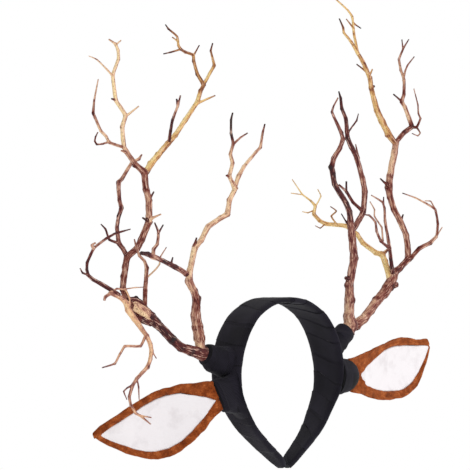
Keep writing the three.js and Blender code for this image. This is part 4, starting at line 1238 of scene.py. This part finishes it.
def ribbon():
    """Black cotton twill tape: matt, with a fine slanted weave, a bluish painted sheen that differs
    from turn to turn, and painted shade along some edges in its creases."""
    material, tree, skin = blank("black twill tape")
    cloth = lay(tree, "UVMap", uv_map="ribbon")
    # The threads are 0.4 mm apart, too fine to show, so they are drawn 1.6 mm apart
    slant = lay(tree, "Mapping", {
        "Vector": cloth, "Rotation": (0, 0, math.radians(35)), "Scale": (1 / MM, 1 / MM, 1),
    })
    threads = lay(tree, "TexWave", {
        "Vector": slant, "Scale": 0.2, "Distortion": 0.8, "Detail": 1,
    }, out="Fac")
    # Painted sheen: each turn is lighter or darker in its own patches of 50 mm, and painted shade
    # darkens some of its edges
    patch = lay(tree, "Mapping", {
        "Vector": cloth, "Scale": (1 / (50 * MM), 1 / (60 * MM), 1),
    })
    painted_sheen = lay(tree, "TexNoise", {"Vector": patch, "Scale": 1, "Detail": 3})
    mixed = lay(tree, "Math", {
        0: threads, 1: 0.2, 2: painted_sheen,
    }, operation="MULTIPLY_ADD")
    colour = lay(tree, "ValToRGB", {"Fac": mixed}, stops=[
        (0.4, "#08060d"), (0.85, "#211e29"),
    ])
    # Painted shade in the creases: near black along the first 1.2 mm of a turn, where the fold
    # noise is high
    across = lay(tree, "SeparateXYZ", {0: cloth}, out="Y")
    edge = lay(tree, "MapRange", {
        "Value": across, "From Max": 1.2 * MM, "To Min": 1, "To Max": 0,
    })
    stretch = lay(tree, "Mapping", {"Vector": cloth, "Scale": (1 / (24 * MM), 0, 1)})
    folds = lay(tree, "TexNoise", {"Vector": stretch, "Scale": 1})
    fold = lay(tree, "MapRange", {
        "Value": folds, "From Min": 0.45, "From Max": 0.55,
    })
    crease = lay(tree, "Math", {
        0: edge, 1: fold,
    }, operation="MULTIPLY")
    colour_with_painted_shade = lay(tree, "Mix", {
        0: crease, 6: colour, 7: srgb("#030204"),
    }, out=2, data_type="RGBA")
    bump = lay(tree, "Bump", {
        "Height": threads, "Strength": 0.25, "Distance": 0.2 * MM,
    })
    join(tree, skin, {
        "Base Color": colour_with_painted_shade, "Roughness": 0.8, "Normal": bump,
        "Specular IOR Level": 0.15, "Sheen Weight": 0.04, "Sheen Roughness": 0.5,
    })
    return material


def suede():
    """Brushed suede cloth: a short nap that lies in strokes, darker where it is pressed and
    bright orange where it stands up."""
    material, tree, skin = blank("brushed suede cloth")
    place = lay(tree, "TexCoord", out="Object")
    strokes = lay(tree, "TexNoise", {
        "Vector": place, "Scale": 1 / (8 * MM), "Detail": 5, "Roughness": 0.6,
    })
    nap = lay(tree, "TexNoise", {
        "Vector": place, "Scale": 1 / (1.4 * MM), "Detail": 3, "Roughness": 0.7,
    })
    mixed = lay(tree, "Math", {
        0: nap, 1: 0.6, 2: strokes,
    }, operation="MULTIPLY_ADD")
    colour = lay(tree, "ValToRGB", {"Fac": mixed}, stops=[
        (0.58, "#521d09"), (0.98, "#a65a2c"), (0.73, "#743310"), (0.86, "#884019"),
    ])
    bump = lay(tree, "Bump", {
        "Height": nap, "Strength": 0.6, "Distance": 0.6 * MM,
    })
    join(tree, skin, {
        "Base Color": colour, "Roughness": 0.95, "Normal": bump,
        "Specular IOR Level": 0.1, "Sheen Weight": 0.3, "Sheen Roughness": 0.6,
        "Sheen Tint": srgb("#e8a070"),
    })
    return material


def felt():
    """White wool felt: pressed fibre, matt, with faint grey smudges."""
    material, tree, skin = blank("white wool felt")
    place = lay(tree, "TexCoord", out="Object")
    smudge = lay(tree, "TexNoise", {
        "Vector": place, "Scale": 1 / (18 * MM), "Detail": 5, "Roughness": 0.6,
    })
    fibre = lay(tree, "TexNoise", {
        "Vector": place, "Scale": 1 / (1.5 * MM), "Detail": 3,
    })
    colour = lay(tree, "ValToRGB", {"Fac": smudge}, stops=[
        (0.32, "#d8d3d5"), (0.5, "#e4e0e2"),
    ])
    bump = lay(tree, "Bump", {
        "Height": fibre, "Strength": 0.3, "Distance": 0.3 * MM,
    })
    join(tree, skin, {
        "Base Color": colour, "Roughness": 0.95, "Normal": bump,
        "Specular IOR Level": 0.1,
    })
    return material


# Stage
def floor():
    """White paper: bright enough of itself to go over into the white room without a line."""
    body = bmesh.new()
    bmesh.ops.create_circle(
        body, cap_ends=True, segments=96, radius=FLOOR_RADIUS,
        matrix=Matrix.Translation((0, 0, FLOOR_HEIGHT)),
    )
    piece = closed_piece("floor", body)
    material, tree, skin = blank("white paper")
    join(tree, skin, {
        "Base Color": srgb("#f4f4f4"), "Roughness": 0.9, "Emission Color": srgb("#ffffff"),
        "Emission Strength": 0.28,
    })
    piece.data.materials.append(material)


def light(name, place, size, watts):
    lamp = bpy.data.lights.new(name, "AREA")
    lamp.size = size
    lamp.energy = watts
    held = bpy.data.objects.new(name, lamp)
    held.location = place
    held.rotation_euler = (Vector(LIGHT_AIM) - Vector(place)).to_track_quat("-Z", "Y").to_euler()
    bpy.context.scene.collection.objects.link(held)


def white_room():
    """White all round, as bright as paper where the camera sees it."""
    world = bpy.data.worlds.new("white room")
    bpy.context.scene.world = world
    world.use_nodes = True
    tree = world.node_tree
    seen = lay(tree, "LightPath", out="Is Camera Ray")
    strength = lay(tree, "MapRange", {"Value": seen, "To Min": 0.69, "To Max": 1})
    join(tree, tree.nodes["Background"], {
        "Color": srgb("#ffffff"), "Strength": strength,
    })


def camera():
    """A long lens on the drawing plane's normal, so the photograph's millimetres hold."""
    lens = bpy.data.cameras.new("camera")
    lens.sensor_width = SENSOR
    lens.lens = SENSOR * CAMERA_DISTANCE / SPAN
    held = bpy.data.objects.new("camera", lens)
    across, up = PICTURE_MIDDLE
    aim = ACROSS * across * MM + Vector((0, 0, up * MM))
    held.location = aim - INWARD * CAMERA_DISTANCE
    held.rotation_euler = INWARD.to_track_quat("-Z", "Y").to_euler()
    bpy.context.scene.collection.objects.link(held)
    bpy.context.scene.camera = held


camera()
white_room()
floor()
for name, (place, size, watts) in LIGHTS.items():
    light(name, place, size, watts)
bpy.context.scene.view_settings.view_transform = "Standard"

for slot, names in TWIG_SLOTS.items():
    material = wood(*WOODS[slot])
    for name in names:
        twig(name, material)

tape, nap, wool = ribbon(), suede(), felt()
wear(band(), "band", tape)
holders = {name: wound_holder(name) for name in WOUND_ROWS}
for name, holder in holders.items():
    wear(holder, name, tape)
for side in EARS:
    shell, lining = ear_shell(side), ear_lining(side)
    tip = ear_point(side, EAR_ROWS[side][-1][0], 0, 0)
    swell(shell, [lining, holders[side + "_ear_stem"]], tip)
    wear(shell, side + "_ear_shell", nap)
    wear(lining, side + "_ear_lining", wool)
